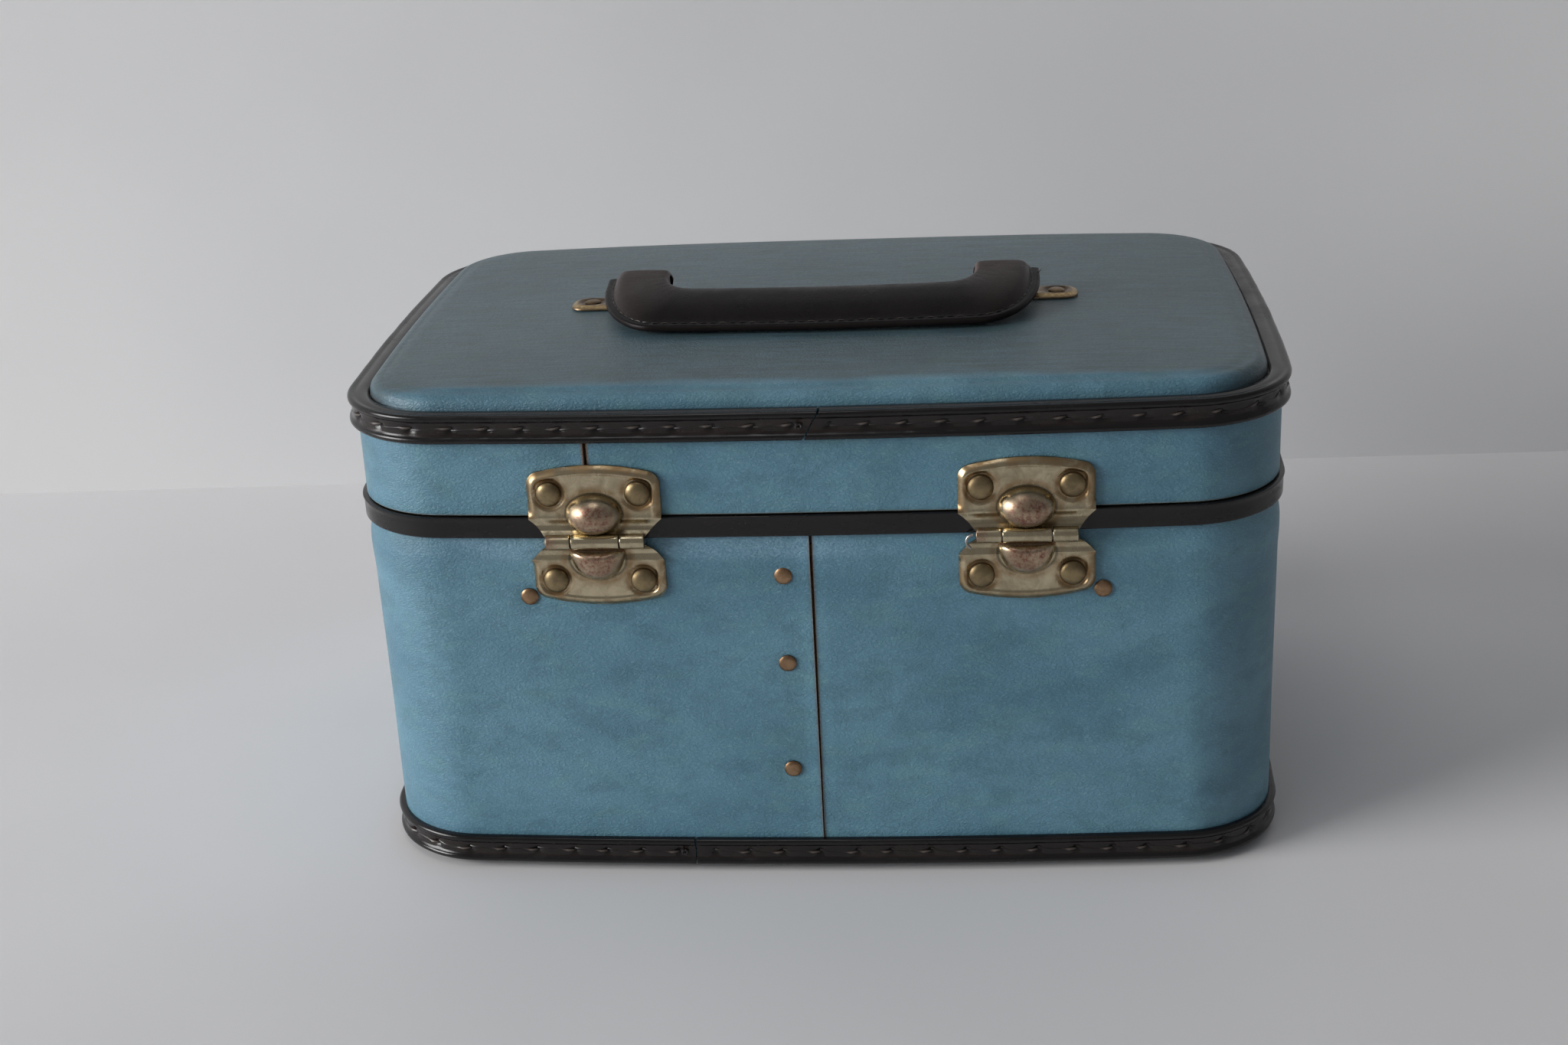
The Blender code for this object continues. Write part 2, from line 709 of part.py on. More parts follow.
def make_elastic():
    """The elastic band along the inside of the hinge wall, bowed with the wall."""
    inner = INNER_FACE + FIT
    half = ELASTIC_RIVET_X + ELASTIC_END
    low, high = ELASTIC_Z - ELASTIC_WIDTH / 2, ELASTIC_Z + ELASTIC_WIDTH / 2
    loops = []
    for i in range(LONG_STEPS + 1):
        x = half * (2 * i / LONG_STEPS - 1)
        y = -PLAN.wall(abs(x), -inner)
        loops.append([Vector((x, y, low)), Vector((x, y + ELASTIC_THICKNESS, low)),
                      Vector((x, y + ELASTIC_THICKNESS, high)), Vector((x, y, high))])
    band = loft("bottle_elastic", loops, False, "elastic")
    drill(band, elastic_rivet_frames(), INNER_FACE + ELASTIC_THICKNESS + OVERRUN, "elastic_drill")
    return band


def leaf_outline(length):
    """Right half of a leaf's edge above its crease, from the crease up to the middle."""
    half = HINGE_WIDTH / 2
    shoulder = length - LEAF_CROWN
    points = [(half, LEAF_CREASE), (half, LEAF_CREASE + LEAF_BORDER)]
    points += arc((half - LEAF_CORNER, shoulder - LEAF_CORNER), LEAF_CORNER, 0.0, math.radians(80), 4)
    x0, v0 = points[-1]
    for share in LEAF_TOP_SHARES:
        points.append((x0 * share, v0 + (length - v0) * (1 - share * share)))
    return points


def leaf_surface(bm, side, up, length):
    """The front of a leaf, as an open surface: field, bevelled border and the run to the barrel."""
    rise = 1 if up else -1
    slope = side * PLAN.slope(HINGE_X)
    wall = -PLAN.wall(HINGE_X)
    axis_out = hinge_axis_out()
    foot_v = BARREL_RADIUS * FOOT_RISE_SHARE
    foot_out = axis_out - BARREL_RADIUS * FOOT_DEPTH_SHARE

    def vertex(x, v, out):
        """A vertex at x along the leaf, v from the axis and out from the wall."""
        lean = min(1.0, max(0.0, (v - foot_v) / (LEAF_CREASE - foot_v)))
        y = wall + slope * x * lean - out
        return bm.verts.new((side * HINGE_X + x, y, HINGE_AXIS_Z + rise * v))

    right = leaf_outline(length)
    full = right + [(-x, v) for x, v in reversed(right[:-1])]
    centre = Vector((0.0, (LEAF_CREASE + length) / 2))
    edge, field = [], []
    last = len(full) - 1
    for i, (x, v) in enumerate(full):
        if i in (0, last):
            corner = vertex(x, v, LEAF_FIELD)
            edge.append(corner)
            field.append(corner)
            continue
        inward = (centre - Vector((x, v))).normalized()
        sign = 1 if x > 0 else -1
        if i in (1, last - 1):
            target = (x - sign * LEAF_BORDER, v)
        elif abs(x) < HINGE_WIDTH / 4:
            target = (x, v - LEAF_BORDER)
        else:
            reach = LEAF_BORDER * LEAF_ROUND_SHARE
            target = (x + inward.x * reach, v + inward.y * reach)
        edge.append(vertex(x, v, FIT + LEAF_SHEET))
        field.append(vertex(*target, LEAF_FIELD))
    bm.faces.new(field)
    for i in range(last):
        corners = [edge[i], edge[i + 1], field[i + 1], field[i]]
        bm.faces.new(list(dict.fromkeys(corners)))
    foot = [vertex(s * BARREL_LENGTH / 2, foot_v, foot_out) for s in (1, -1)]
    bm.faces.new((edge[0], edge[-1], foot[1], foot[0]))


def hinge_axis_out():
    """Distance of the hinge axis from the wall at the middle of a hinge."""
    inner_end = HINGE_X - BARREL_LENGTH / 2
    return PLAN.wall(inner_end, TRIM_PROUD) + FIT + BARREL_RADIUS - PLAN.wall(HINGE_X)


def hinge_axis_y():
    """World y of the hinge axis."""
    return -PLAN.wall(HINGE_X) - hinge_axis_out()


def barrel_frame(side):
    """Frame whose Z runs along the barrel of one hinge."""
    place = (side * HINGE_X, hinge_axis_y(), HINGE_AXIS_Z)
    return Matrix.Translation(place) @ Matrix.Rotation(math.pi / 2, 4, "Y")


def dome_tool(name, side, up):
    """The pressed dome of a leaf: a bumper above the barrel, a flat-topped stop below it."""
    bm = bmesh.new()
    bmesh.ops.create_uvsphere(bm, u_segments=ROUND_STEPS + 2, v_segments=ROUND_STEPS - 2, radius=1.0,
                              matrix=Matrix.Rotation(math.pi / 2, 4, "X"))
    base = LEAF_FIELD - LEAF_SHEET * DOME_ROOT_SHARE
    if up:
        size = (DOME_HALF_WIDTH, DOME_RISE + LEAF_FIELD - base, DOME_HALF_HEIGHT)
        middle = DOME_CENTRE
    else:
        size = (DOME_HALF_WIDTH, STOP_RISE + LEAF_FIELD - base, STOP_HEIGHT)
        middle = -STOP_TOP
        bmesh.ops.bisect_plane(bm, geom=list(bm.verts) + list(bm.edges) + list(bm.faces),
                               plane_co=(0, 0, 0), plane_no=(0, 0, 1), clear_outer=True)
        bmesh.ops.holes_fill(bm, edges=[e for e in bm.edges if e.is_boundary])
    bmesh.ops.bisect_plane(bm, geom=list(bm.verts) + list(bm.edges) + list(bm.faces),
                           plane_co=(0, 0, 0), plane_no=(0, 1, 0), clear_outer=True)
    bmesh.ops.holes_fill(bm, edges=[e for e in bm.edges if e.is_boundary])
    bmesh.ops.scale(bm, vec=size, verts=bm.verts)
    place = (side * HINGE_X, -PLAN.wall(HINGE_X) - base, HINGE_AXIS_Z + middle)
    bmesh.ops.translate(bm, vec=place, verts=bm.verts)
    return object_from_bmesh(name, bm)


def make_leaf(side, up):
    """One hinge leaf with its knuckles, dome, rivet holes and pin bore."""
    label = "hinge_%s_%s_leaf" % ("right" if side > 0 else "left", "lid" if up else "body")
    bm = bmesh.new()
    leaf_surface(bm, side, up, LEAF_LENGTH_LID if up else LEAF_LENGTH_BODY)
    leaf = object_from_bmesh(label, bm, "nickel")
    if leaf.data.polygons[0].normal.y > 0:
        leaf.data.flip_normals()
    sheet = leaf.modifiers.new("sheet", "SOLIDIFY")
    sheet.thickness = LEAF_SHEET
    sheet.offset = -1.0
    sheet.use_even_offset = True
    split, end = KNUCKLE_SPLIT / 2, BARREL_LENGTH / 2
    outer_spans = ((-end, -split - FIT / 2), (split + FIT / 2, end))
    middle_span = ((-split + FIT / 2, split - FIT / 2),)
    own, other = (outer_spans, middle_span) if up else (middle_span, outer_spans)
    frame = barrel_frame(side)
    bm = bmesh.new()
    for start, stop in own:
        add_cylinder(bm, BARREL_RADIUS, start, stop, frame, ROUND_STEPS)
    boolean(leaf, object_from_bmesh(label + "_knuckles", bm), "UNION", "MANIFOLD")
    boolean(leaf, dome_tool(label + "_dome", side, up), "UNION", "MANIFOLD")
    bm = bmesh.new()
    for start, stop in other:
        low = start - OVERRUN if start < -split else start - FIT
        high = stop + OVERRUN if stop > split else stop + FIT
        add_cylinder(bm, BARREL_RADIUS + FIT, low, high, frame, ROUND_STEPS)
    boolean(leaf, object_from_bmesh(label + "_clearance", bm), "DIFFERENCE", "MANIFOLD")
    bm = bmesh.new()
    add_cylinder(bm, PIN_RADIUS + PIN_FIT, -end - OVERRUN, end + OVERRUN, frame, ROUND_STEPS)
    boolean(leaf, object_from_bmesh(label + "_bore", bm), "DIFFERENCE", "MANIFOLD")
    frames = [f for f in hinge_rivet_frames(up) if f.translation.x * side > 0]
    drill(leaf, frames, LEAF_FIELD, label + "_drill", "MANIFOLD")
    return leaf


def make_pin(side):
    """A hinge pin; the right one keeps the curled tail of its wire at its inner end."""
    name = "hinge_%s_pin" % ("right" if side > 0 else "left")
    bm = bmesh.new()
    end = BARREL_LENGTH / 2
    add_cylinder(bm, PIN_RADIUS, -end, end, barrel_frame(side))
    pin = object_from_bmesh(name, bm, "steel")
    if side < 0:
        return pin
    curve = bpy.data.curves.new("pin_tail", "CURVE")
    curve.dimensions = "3D"
    curve.bevel_depth = PIN_TAIL_WIRE
    curve.bevel_resolution = 1
    curve.use_fill_caps = True
    spline = curve.splines.new("POLY")
    start = Vector((HINGE_X - end, hinge_axis_y(), HINGE_AXIS_Z))
    turns = arc((0.0, -PIN_TAIL_RADIUS), PIN_TAIL_RADIUS, math.radians(90), math.radians(245), 7)
    points = [start + Vector((PIN_RADIUS, 0.0, 0.0)), start]
    points += [start + Vector((x - PIN_RADIUS, 0.0, z)) for x, z in turns]
    spline.points.add(len(points) - 1)
    for knot, point in zip(spline.points, points):
        knot.co = (*point, 1.0)
    item = bpy.data.objects.new("pin_tail", curve)
    CUTTERS.objects.link(item)
    tail = add_object("pin_tail_tool", mesh_of(item))
    boolean(pin, tail, "UNION")
    return pin


def handle_frame():
    """Frame of the folded handle: origin on the pivot line, Y from the pivot to the grip, Z up."""
    place = Matrix.Translation((0.0, HANDLE_Y, handle_pivot_z()))
    return place @ Matrix.Rotation(math.pi, 4, "Z") @ Matrix.Rotation(-HANDLE_TILT, 4, "X")


def handle_pivot_z():
    """Height of the handle's pivot line, which leaves the sleeves clear of the brackets' feet."""
    return bracket_seat() + BRACKET_THICKNESS + FIT + SLEEVE_RADIUS


def bracket_seat():
    """Underside of the brackets, just above the crowned lid."""
    return LID_FIELD + crown_rise(HANDLE_X - BRACKET_REACH, HANDLE_Y) + FIT


def handle_stations():
    """Stations along one half of the handle: inner and outer point, half heights and section."""
    inner_x, outer_x = HANDLE_X - LEG_WIDTH / 2, HANDLE_X + LEG_WIDTH / 2
    stations = []
    for angle in SLEEVE_ANGLES:
        reach = -SLEEVE_RADIUS * math.sin(math.radians(angle))
        swing = math.cos(math.radians(angle))
        rise, drop = SLEEVE_RADIUS * swing, SLEEVE_DROP * swing
        stations.append(((inner_x, reach), (outer_x, reach), rise, drop, 0.0))
    straight = HANDLE_BORE + FIT
    stations.append(((inner_x, straight), (outer_x, straight), SLEEVE_RADIUS, SLEEVE_DROP, 0.0))
    steps = CORNER_STEPS - 1
    for i in range(1, steps + 1):
        share = i / steps
        turn = share * math.pi / 2
        inner = (inner_x - INNER_CORNER * (1 - math.cos(turn)),
                 straight + (GRIP_INNER - straight) * math.sin(turn))
        outer = (outer_x - OUTER_CORNER * (1 - math.cos(turn)),
                 straight + (GRIP_OUTER - straight) * math.sin(turn))
        top = SLEEVE_RADIUS + (GRIP_TOP - SLEEVE_RADIUS) * share
        bottom = SLEEVE_DROP + (GRIP_BOTTOM - SLEEVE_DROP) * share
        stations.append((inner, outer, top, bottom, share))
    for share in GRIP_HALF_SHARES:
        bow = GRIP_BOW * (1 - share * share)
        stations.append((((inner_x - INNER_CORNER) * share, GRIP_INNER + bow),
                         ((outer_x - OUTER_CORNER) * share, GRIP_OUTER + bow), GRIP_TOP, GRIP_BOTTOM, 1.0))
    return stations


def mirrored(stations):
    """All stations from the right leg's end to the left leg's end."""
    left = [((-i[0], i[1]), (-o[0], o[1]), t, b, k) for i, o, t, b, k in reversed(stations[:-1])]
    return stations + left


# Half sections of the handle as shares of its width and of its half height, at a leg and at the grip
LEG_SECTION_SHARES = ((0.03, 0.72), (0.12, 0.96), (0.34, 1.0), (0.68, 1.0), (0.92, 0.84), (1.0, 0.26))
GRIP_SECTION_SHARES = ((0.03, 0.50), (0.13, 0.88), (0.34, 1.0), (0.62, 0.82), (0.86, 0.45), (1.0, 0.24))


def section_shares(blend):
    """The half section between a leg's and the grip's."""
    return [(a + (c - a) * blend, b + (d - b) * blend)
            for (a, b), (c, d) in zip(LEG_SECTION_SHARES, GRIP_SECTION_SHARES)]


def make_handle_cover():
    """The sewn handle cover, with its flange, its bracket slots and the channel for its core."""
    frame = handle_frame()
    loops = []
    for inner, outer, top, bottom, blend in mirrored(handle_stations()):
        start, run = Vector(inner), Vector(outer) - Vector(inner)
        flange = start + run * (1 + FLANGE_WIDTH / run.length)
        shares = section_shares(blend)
        edge = shares[-1][1]
        points = [(start, 0.0)]
        points += [(start + run * s, top * h) for s, h in shares]
        points += [(flange, top * edge), (flange, -bottom * edge)]
        points += [(start + run * s, -bottom * h) for s, h in reversed(shares)]
        loops.append([frame @ Vector((place.x, place.y, rise)) for place, rise in points])
    cover = loft("handle_cover", loops, False, "leather")
    channel = core_loops(CORE_WIDTH / 2 + FIT, CORE_THICKNESS / 2 + FIT, 0.0)
    boolean(cover, loft("handle_channel_cutter", channel, False), "DIFFERENCE")
    bm = bmesh.new()
    half = BRACKET_LOOP / 2 + FIT
    for side in (-1, 1):
        turn = frame @ Matrix.Translation((side * HANDLE_X, 0.0, 0.0)) @ Matrix.Rotation(math.pi / 2, 4, "Y")
        add_cylinder(bm, HANDLE_BORE, -half, half, turn, ROUND_STEPS)
    boolean(cover, object_from_bmesh("handle_bore_cutter", bm), "DIFFERENCE")
    slot = BRACKET_THICKNESS + 4 * FIT
    bm = bmesh.new()
    for side in (-1, 1):
        for step in (-1, 1):
            x = side * HANDLE_X + step * (BRACKET_LOOP - BRACKET_THICKNESS) / 2 - slot / 2
            ends = [[bm.verts.new(frame @ Vector((plane, r, z))) for r, z in slot_outline()]
                    for plane in (x, x + slot)]
            count = len(ends[0])
            bm.faces.new(ends[0])
            bm.faces.new(ends[1])
            for i in range(count):
                j = (i + 1) % count
                bm.faces.new((ends[0][i], ends[0][j], ends[1][j], ends[1][i]))
    boolean(cover, object_from_bmesh("handle_slot_cutter", bm), "DIFFERENCE", "MANIFOLD")
    return cover


def slot_outline():
    """The room that a bracket's leg needs as the handle turns from its rest to its stop."""
    half = BRACKET_NECK / 2 + 2 * FIT
    reach = SLEEVE_RADIUS + OVERRUN
    rest, lift = HANDLE_TILT, HANDLE_STOP
    foot = (half * math.cos(rest) + reach * math.sin(rest), half * math.sin(rest) - reach * math.cos(rest))
    bend = (1 - math.sin(lift)) / math.cos(lift)
    end = (-reach, (half + reach * math.sin(lift)) / math.cos(lift))
    return (foot, (half, half * bend), end, (-reach, foot[1]))


def core_loops(half_width, half_thickness, gap):
    """Loops of the flat strip that runs inside the handle from bore to bore."""
    frame = handle_frame()
    stations = mirrored([s for s in handle_stations() if s[0][1] > 0])
    loops = []
    ends = (0, len(stations) - 1)
    for i, (inner, outer, _, _, _) in enumerate(stations):
        start, run = Vector(inner), Vector(outer) - Vector(inner)
        middle = start + run * CORE_PLACE_SHARE
        if i in ends:
            middle.y = HANDLE_BORE - FIT + gap
        across = run.normalized()
        loops.append([frame @ Vector((*(middle + across * (sx * half_width)), sz * half_thickness))
                      for sx, sz in ((-1, -1), (1, -1), (1, 1), (-1, 1))])
    return loops


def make_handle_core():
    """The steel strip inside the handle."""
    return loft("handle_core", core_loops(CORE_WIDTH / 2, CORE_THICKNESS / 2, 2 * FIT), False, "steel")


def make_bracket(side):
    """A handle bracket: two riveted feet joined by a raised loop that the handle turns on."""
    name = "handle_bracket_%s" % ("right" if side > 0 else "left")
    seat = bracket_seat()
    half, end = BRACKET_WIDTH / 2, BRACKET_REACH
    heel = (BRACKET_LOOP - BRACKET_THICKNESS) / 2
    loop, inside = BRACKET_LOOP / 2, BRACKET_LOOP / 2 - BRACKET_THICKNESS
    neck = BRACKET_NECK / 2
    root = neck + FIT
    top = handle_pivot_z() + BRACKET_THICKNESS / 2
    place = Matrix.Translation((side * HANDLE_X, HANDLE_Y, 0.0))
    bm = bmesh.new()
    add_box(bm, (-loop, -neck, seat + FIT), (loop, neck, top), place)
    bracket = object_from_bmesh(name, bm, "bronze")
    bm = bmesh.new()
    add_box(bm, (-inside, -neck - OVERRUN, seat - OVERRUN),
            (inside, neck + OVERRUN, top - BRACKET_THICKNESS), place)
    boolean(bracket, object_from_bmesh(name + "_gap", bm), "DIFFERENCE")
    for step in (-1, 1):
        outline = [(heel, -root), (heel + half - root, -half)]
        outline += arc((end - half, 0.0), half, -math.pi / 2, math.pi / 2, CORNER_STEPS)
        outline += [(heel + half - root, half), (heel, root)]
        turn = Matrix.Rotation(math.pi if step < 0 else 0.0, 4, "Z")
        foot = plate_mesh(outline, BRACKET_THICKNESS, place @ Matrix.Translation((0.0, 0.0, seat)) @ turn)
        boolean(bracket, add_object("%s_foot_%+d" % (name, step), foot), "UNION")
    drill(bracket, bracket_rivet_frames((side,)), OVERRUN, name + "_drill")
    return bracket


def bracket_rivet_frames(sides=(-1, 1)):
    """Frames of the rivets through the brackets' feet."""
    z = bracket_seat() + BRACKET_THICKNESS + FIT
    return [Matrix.Translation((side * HANDLE_X + step * BRACKET_RIVET, HANDLE_Y, z))
            for side in sides for step in (-1, 1)]


def make_mirror_frame():
    """A moulded frame that holds the mirror's edge against the lid's lining."""
    top = LID_BAND_TOP - FLOOR_CARD - FIT
    low = top - MIRROR_THICKNESS - FIT
    section = ((FIT, top), (FRAME_WIDTH, top), (FRAME_WIDTH, low - FRAME_LIP_THICKNESS),
               (-FRAME_LIP, low - FRAME_LIP_THICKNESS), (-FRAME_LIP, low), (FIT, low))
    loops = []
    for offset, z in section:
        points = rounded_rectangle(MIRROR_WIDTH, MIRROR_DEPTH, MIRROR_CORNER, offset)
        loops.append([Vector((x, y, z)) for x, y in points])
    return loft("mirror_frame", loops, True, "trim")


def make_mirror():
    """The mirror glass under the lid."""
    top = LID_BAND_TOP - FLOOR_CARD - FIT
    outline = rounded_rectangle(MIRROR_WIDTH, MIRROR_DEPTH, MIRROR_CORNER)
    place = Matrix.Translation((0.0, 0.0, top - MIRROR_THICKNESS))
    return add_object("mirror", plate_mesh(outline, MIRROR_THICKNESS, place), "mirror")


def upright_plate(side, x, low, high, width):
    """A sheet plate with rounded corners, flat on the front wall of one latch."""
    outline = rounded_rectangle(width, high - low, PLATE_CORNER)
    stand = Matrix.Translation((x, FIT + LATCH_SHEET, (low + high) / 2))
    upright = Matrix.Rotation(math.pi / 2, 4, "X")
    return plate_mesh(outline, LATCH_SHEET, latch_frame(side) @ stand @ upright)


def bolt_levels():
    """Lower and upper edge of the latch bolt, from the parting line."""
    low = -HOOK_DROP + BOLT_RISE
    return low, low + BOLT_HEIGHT


def make_latch_plate(side):
    """A latch plate on the body, with the housing that guides its bolt."""
    name = "latch_%s_plate" % ("right" if side > 0 else "left")
    top = -TRIM_DROP - FIT
    sheet = upright_plate(side, 0.0, top - LATCH_PLATE_HEIGHT, top, LATCH_PLATE_WIDTH)
    plate = add_object(name, sheet, "nickel")
    frame = latch_frame(side)
    low, high = bolt_levels()
    start = HOOK_WIDTH / 2 + 2 * FIT
    floor = FIT + LATCH_SHEET
    cavity_back, cavity_front = HOOK_STANDOFF, HOOK_STANDOFF + BOLT_THICKNESS + 2 * FIT
    front = cavity_front + HOUSING_WALL
    bm = bmesh.new()
    add_box(bm, (start, floor - LATCH_SHEET / 2, low - FIT - HOUSING_WALL),
            (start + HOUSING_LENGTH, front, high + FIT + HOUSING_WALL), frame)
    boolean(plate, object_from_bmesh(name + "_housing", bm), "UNION")
    bm = bmesh.new()
    add_box(bm, (start - OVERRUN, cavity_back, low - FIT),
            (start + HOUSING_LENGTH - HOUSING_WALL, cavity_front, high + FIT), frame)
    boolean(plate, object_from_bmesh(name + "_cavity", bm), "DIFFERENCE")
    slot_low, slot_high, stem_start = stem_place()
    bm = bmesh.new()
    add_box(bm, (stem_start - BOLT_TRAVEL - FIT, cavity_back + FIT, slot_low - FIT),
            (stem_start + STEM_LENGTH + FIT, front + OVERRUN, slot_high + FIT), frame)
    boolean(plate, object_from_bmesh(name + "_slot", bm), "DIFFERENCE")
    drill(plate, latch_rivet_frames(side, False), OVERRUN, name + "_drill")
    return plate


def stem_place():
    """Levels of the thumb button's stem and where it starts along the bolt."""
    low, high = bolt_levels()
    middle = (low + high) / 2
    start = HOOK_WIDTH / 2 + 2 * FIT + BOLT_LENGTH - 2 * STEM_LENGTH
    return middle - STEM_HEIGHT / 2, middle + STEM_HEIGHT / 2, start


def make_slider(side):
    """The latch bolt with its stem and thumb button, drawn clear of the hook."""
    name = "latch_%s_slider" % ("right" if side > 0 else "left")
    frame = latch_frame(side)
    low, high = bolt_levels()
    start = HOOK_WIDTH / 2 + 2 * FIT
    back = HOOK_STANDOFF + FIT
    front = HOOK_STANDOFF + BOLT_THICKNESS + 2 * FIT + HOUSING_WALL
    bm = bmesh.new()
    add_box(bm, (start, back, low), (start + BOLT_LENGTH, back + BOLT_THICKNESS, high), frame)
    slider = object_from_bmesh(name, bm, "brass")
    stem_low, stem_high, stem_start = stem_place()
    bm = bmesh.new()
    add_box(bm, (stem_start, back + BOLT_THICKNESS / 2, stem_low),
            (stem_start + STEM_LENGTH, front + FIT + BUTTON_THICKNESS / 2, stem_high), frame)
    boolean(slider, object_from_bmesh(name + "_stem", bm), "UNION")
    middle, centre = (stem_low + stem_high) / 2, stem_start + STEM_LENGTH / 2
    outline = rounded_rectangle(BUTTON_LENGTH, BUTTON_HEIGHT, BUTTON_CORNER)
    stand = Matrix.Translation((centre, front + FIT + BUTTON_THICKNESS, middle))
    stand = frame @ stand @ Matrix.Rotation(math.pi / 2, 4, "X")
    button = add_object(name + "_button", plate_mesh(outline, BUTTON_THICKNESS, stand))
    boolean(slider, button, "UNION")
    return slider


def make_keeper(side):
    """A keeper on the lid, whose notched hook hangs in front of the latch plate."""
    name = "latch_%s_keeper" % ("right" if side > 0 else "left")
    frame = latch_frame(side)
    low = KEEPER_GAP
    keeper = add_object(name, upright_plate(side, 0.0, low, low + KEEPER_HEIGHT, KEEPER_WIDTH), "nickel")
    half, back = HOOK_WIDTH / 2, HOOK_STANDOFF
    bm = bmesh.new()
    add_box(bm, (-half, back, -HOOK_DROP), (half, back + HOOK_SHEET, low + KEEPER_HEIGHT / 2), frame)
    boolean(keeper, object_from_bmesh(name + "_hook", bm), "UNION")
    bm = bmesh.new()
    inset = half - FIT
    add_box(bm, (-inset, FIT + LATCH_SHEET / 2, low + HOOK_SHEET),
            (inset, back + HOOK_SHEET / 2, low + KEEPER_HEIGHT / 2 - FIT), frame)
    boolean(keeper, object_from_bmesh(name + "_root", bm), "UNION")
    bolt_low, bolt_high = bolt_levels()
    bm = bmesh.new()
    add_box(bm, (half - NOTCH_DEPTH - FIT, back - OVERRUN, bolt_low - 2 * FIT),
            (half + OVERRUN, back + HOOK_SHEET + OVERRUN, bolt_high + 2 * FIT), frame)
    boolean(keeper, object_from_bmesh(name + "_notch", bm), "DIFFERENCE")
    drill(keeper, latch_rivet_frames(side, True), OVERRUN, name + "_drill")
    return keeper


def build_body():
    """Everything that stays with the lower case."""
    make_body_band()
    seam = backing_strip("seam_backing_strip", BODY_SEAM_X, BODY_BAND_FOOT + FIT,
                         PARTING - TONGUE_SKIRT - FIT)
    drill(seam, seam_rivet_frames(), BOARD + BACKING + OVERRUN, "seam_backing_drill")
    make_panel("base_panel", "cloth", BASE_FLANGE, 0.0, BOARD, False)
    make_binding("bottom_binding", BASE_DROP, False, BOTTOM_JOINT_X, 0.0)
    make_rim_trim()
    lining = make_lining("body_lining", BODY_BAND_FOOT, PARTING - TONGUE_SKIRT - FIT)
    drill(lining, elastic_rivet_frames(), INNER_FACE + OVERRUN, "body_lining_drill")
    make_card("base_lining", BODY_BAND_FOOT, BODY_BAND_FOOT + FLOOR_CARD)
    make_elastic()
    grip = FIT + BOARD + FIT + BACKING + FIT
    names = ["seam_rivet_" + place for place in ("top", "middle", "bottom")]
    fasteners(names, rivet_mesh(SMALL_HEAD, SMALL_HEAD_HEIGHT, grip), seam_rivet_frames(), "copper")
    grip = FIT + INNER_FACE + FIT + ELASTIC_THICKNESS + FIT
    names = ["elastic_rivet_" + place for place in SIDE_NAMES]
    fasteners(names, rivet_mesh(SMALL_HEAD, SMALL_HEAD_HEIGHT, grip), elastic_rivet_frames(), "copper")
    grip = LEAF_FIELD + FIT + BOARD + FIT
    head = rivet_mesh(HINGE_HEAD, HINGE_HEAD_HEIGHT, grip, ROUND_STEPS)
    fasteners(pair_names("hinge_%s_body_rivet"), head, hinge_rivet_frames(False), "brass")
    frames = latch_rivet_frames(-1, False) + latch_rivet_frames(1, False)
    grip = FIT + LATCH_SHEET + FIT + BOARD + FIT
    rivet = rivet_mesh(SMALL_HEAD, SMALL_HEAD_HEIGHT, grip)
    fasteners(pair_names("latch_%s_plate_rivet"), rivet, frames, "brass")
    for side in (-1, 1):
        make_leaf(side, False)
        make_pin(side)
        make_latch_plate(side)


def build_lid():
    """Everything that lifts with the lid, on an empty at the hinge axis."""
    pieces = [make_lid_band()]
    pieces.append(backing_strip("lid_seam_strip", LID_SEAM_X, LID_LINING_FOOT, LID_BAND_TOP - FIT))
    panel = make_panel("lid_panel", "cloth", TOP_FLANGE, LID_FIELD, LID_FIELD - BOARD, True)
    drill(panel, bracket_rivet_frames(), LID_FIELD_RISE + BOARD + OVERRUN, "lid_panel_drill")
    pieces.append(panel)
    pieces.append(make_binding("top_binding", LID_TOP, True, TOP_JOINT_X, TOP_JOINT_LEAN))
    pieces.append(make_lining("lid_lining", LID_LINING_FOOT, LID_BAND_TOP))
    pieces.append(make_card("lid_ceiling", LID_BAND_TOP - FLOOR_CARD, LID_BAND_TOP))
    pieces += [make_mirror(), make_mirror_frame()]
    grip = LEAF_FIELD + FIT + BOARD + FIT
    head = rivet_mesh(HINGE_HEAD, HINGE_HEAD_HEIGHT, grip, ROUND_STEPS)
    pieces += fasteners(pair_names("hinge_%s_lid_rivet"), head, hinge_rivet_frames(True), "brass")
    frames = latch_rivet_frames(-1, True) + latch_rivet_frames(1, True)
    grip = FIT + LATCH_SHEET + FIT + BOARD + FIT
    rivet = rivet_mesh(SMALL_HEAD, SMALL_HEAD_HEIGHT, grip)
    pieces += fasteners(pair_names("latch_%s_keeper_rivet"), rivet, frames, "brass")
    grip = bracket_seat() + BRACKET_THICKNESS + FIT - (LID_FIELD - BOARD) + FIT
    rivet = rivet_mesh(SMALL_HEAD, SMALL_HEAD_HEIGHT, grip)
    pieces += fasteners(pair_names("bracket_%s_rivet"), rivet, bracket_rivet_frames(), "bronze")
    for side in (-1, 1):
        pieces += [make_leaf(side, True), make_keeper(side), make_bracket(side)]
    axis = add_empty("lid_hinge_axis", (0.0, hinge_axis_y(), HINGE_AXIS_Z))
    parent_to(pieces, axis)
    return axis


def build_handle(lid_axis):
    """The handle, on an empty at its pivot line that rides with the lid."""
    axis = add_empty("handle_pivot_axis", (0.0, HANDLE_Y, handle_pivot_z()))
    parent_to([axis], lid_axis)
    parent_to([make_handle_cover(), make_handle_core()], axis)


def build_sliders():
    """The two latch sliders, each on an empty on its slide."""
    for side in (-1, 1):
        frame = latch_frame(side)
        axis = add_empty("latch_slide_%s" % ("right" if side > 0 else "left"), frame.translation)
        axis.rotation_euler = frame.to_euler()
        parent_to([make_slider(side)], axis)


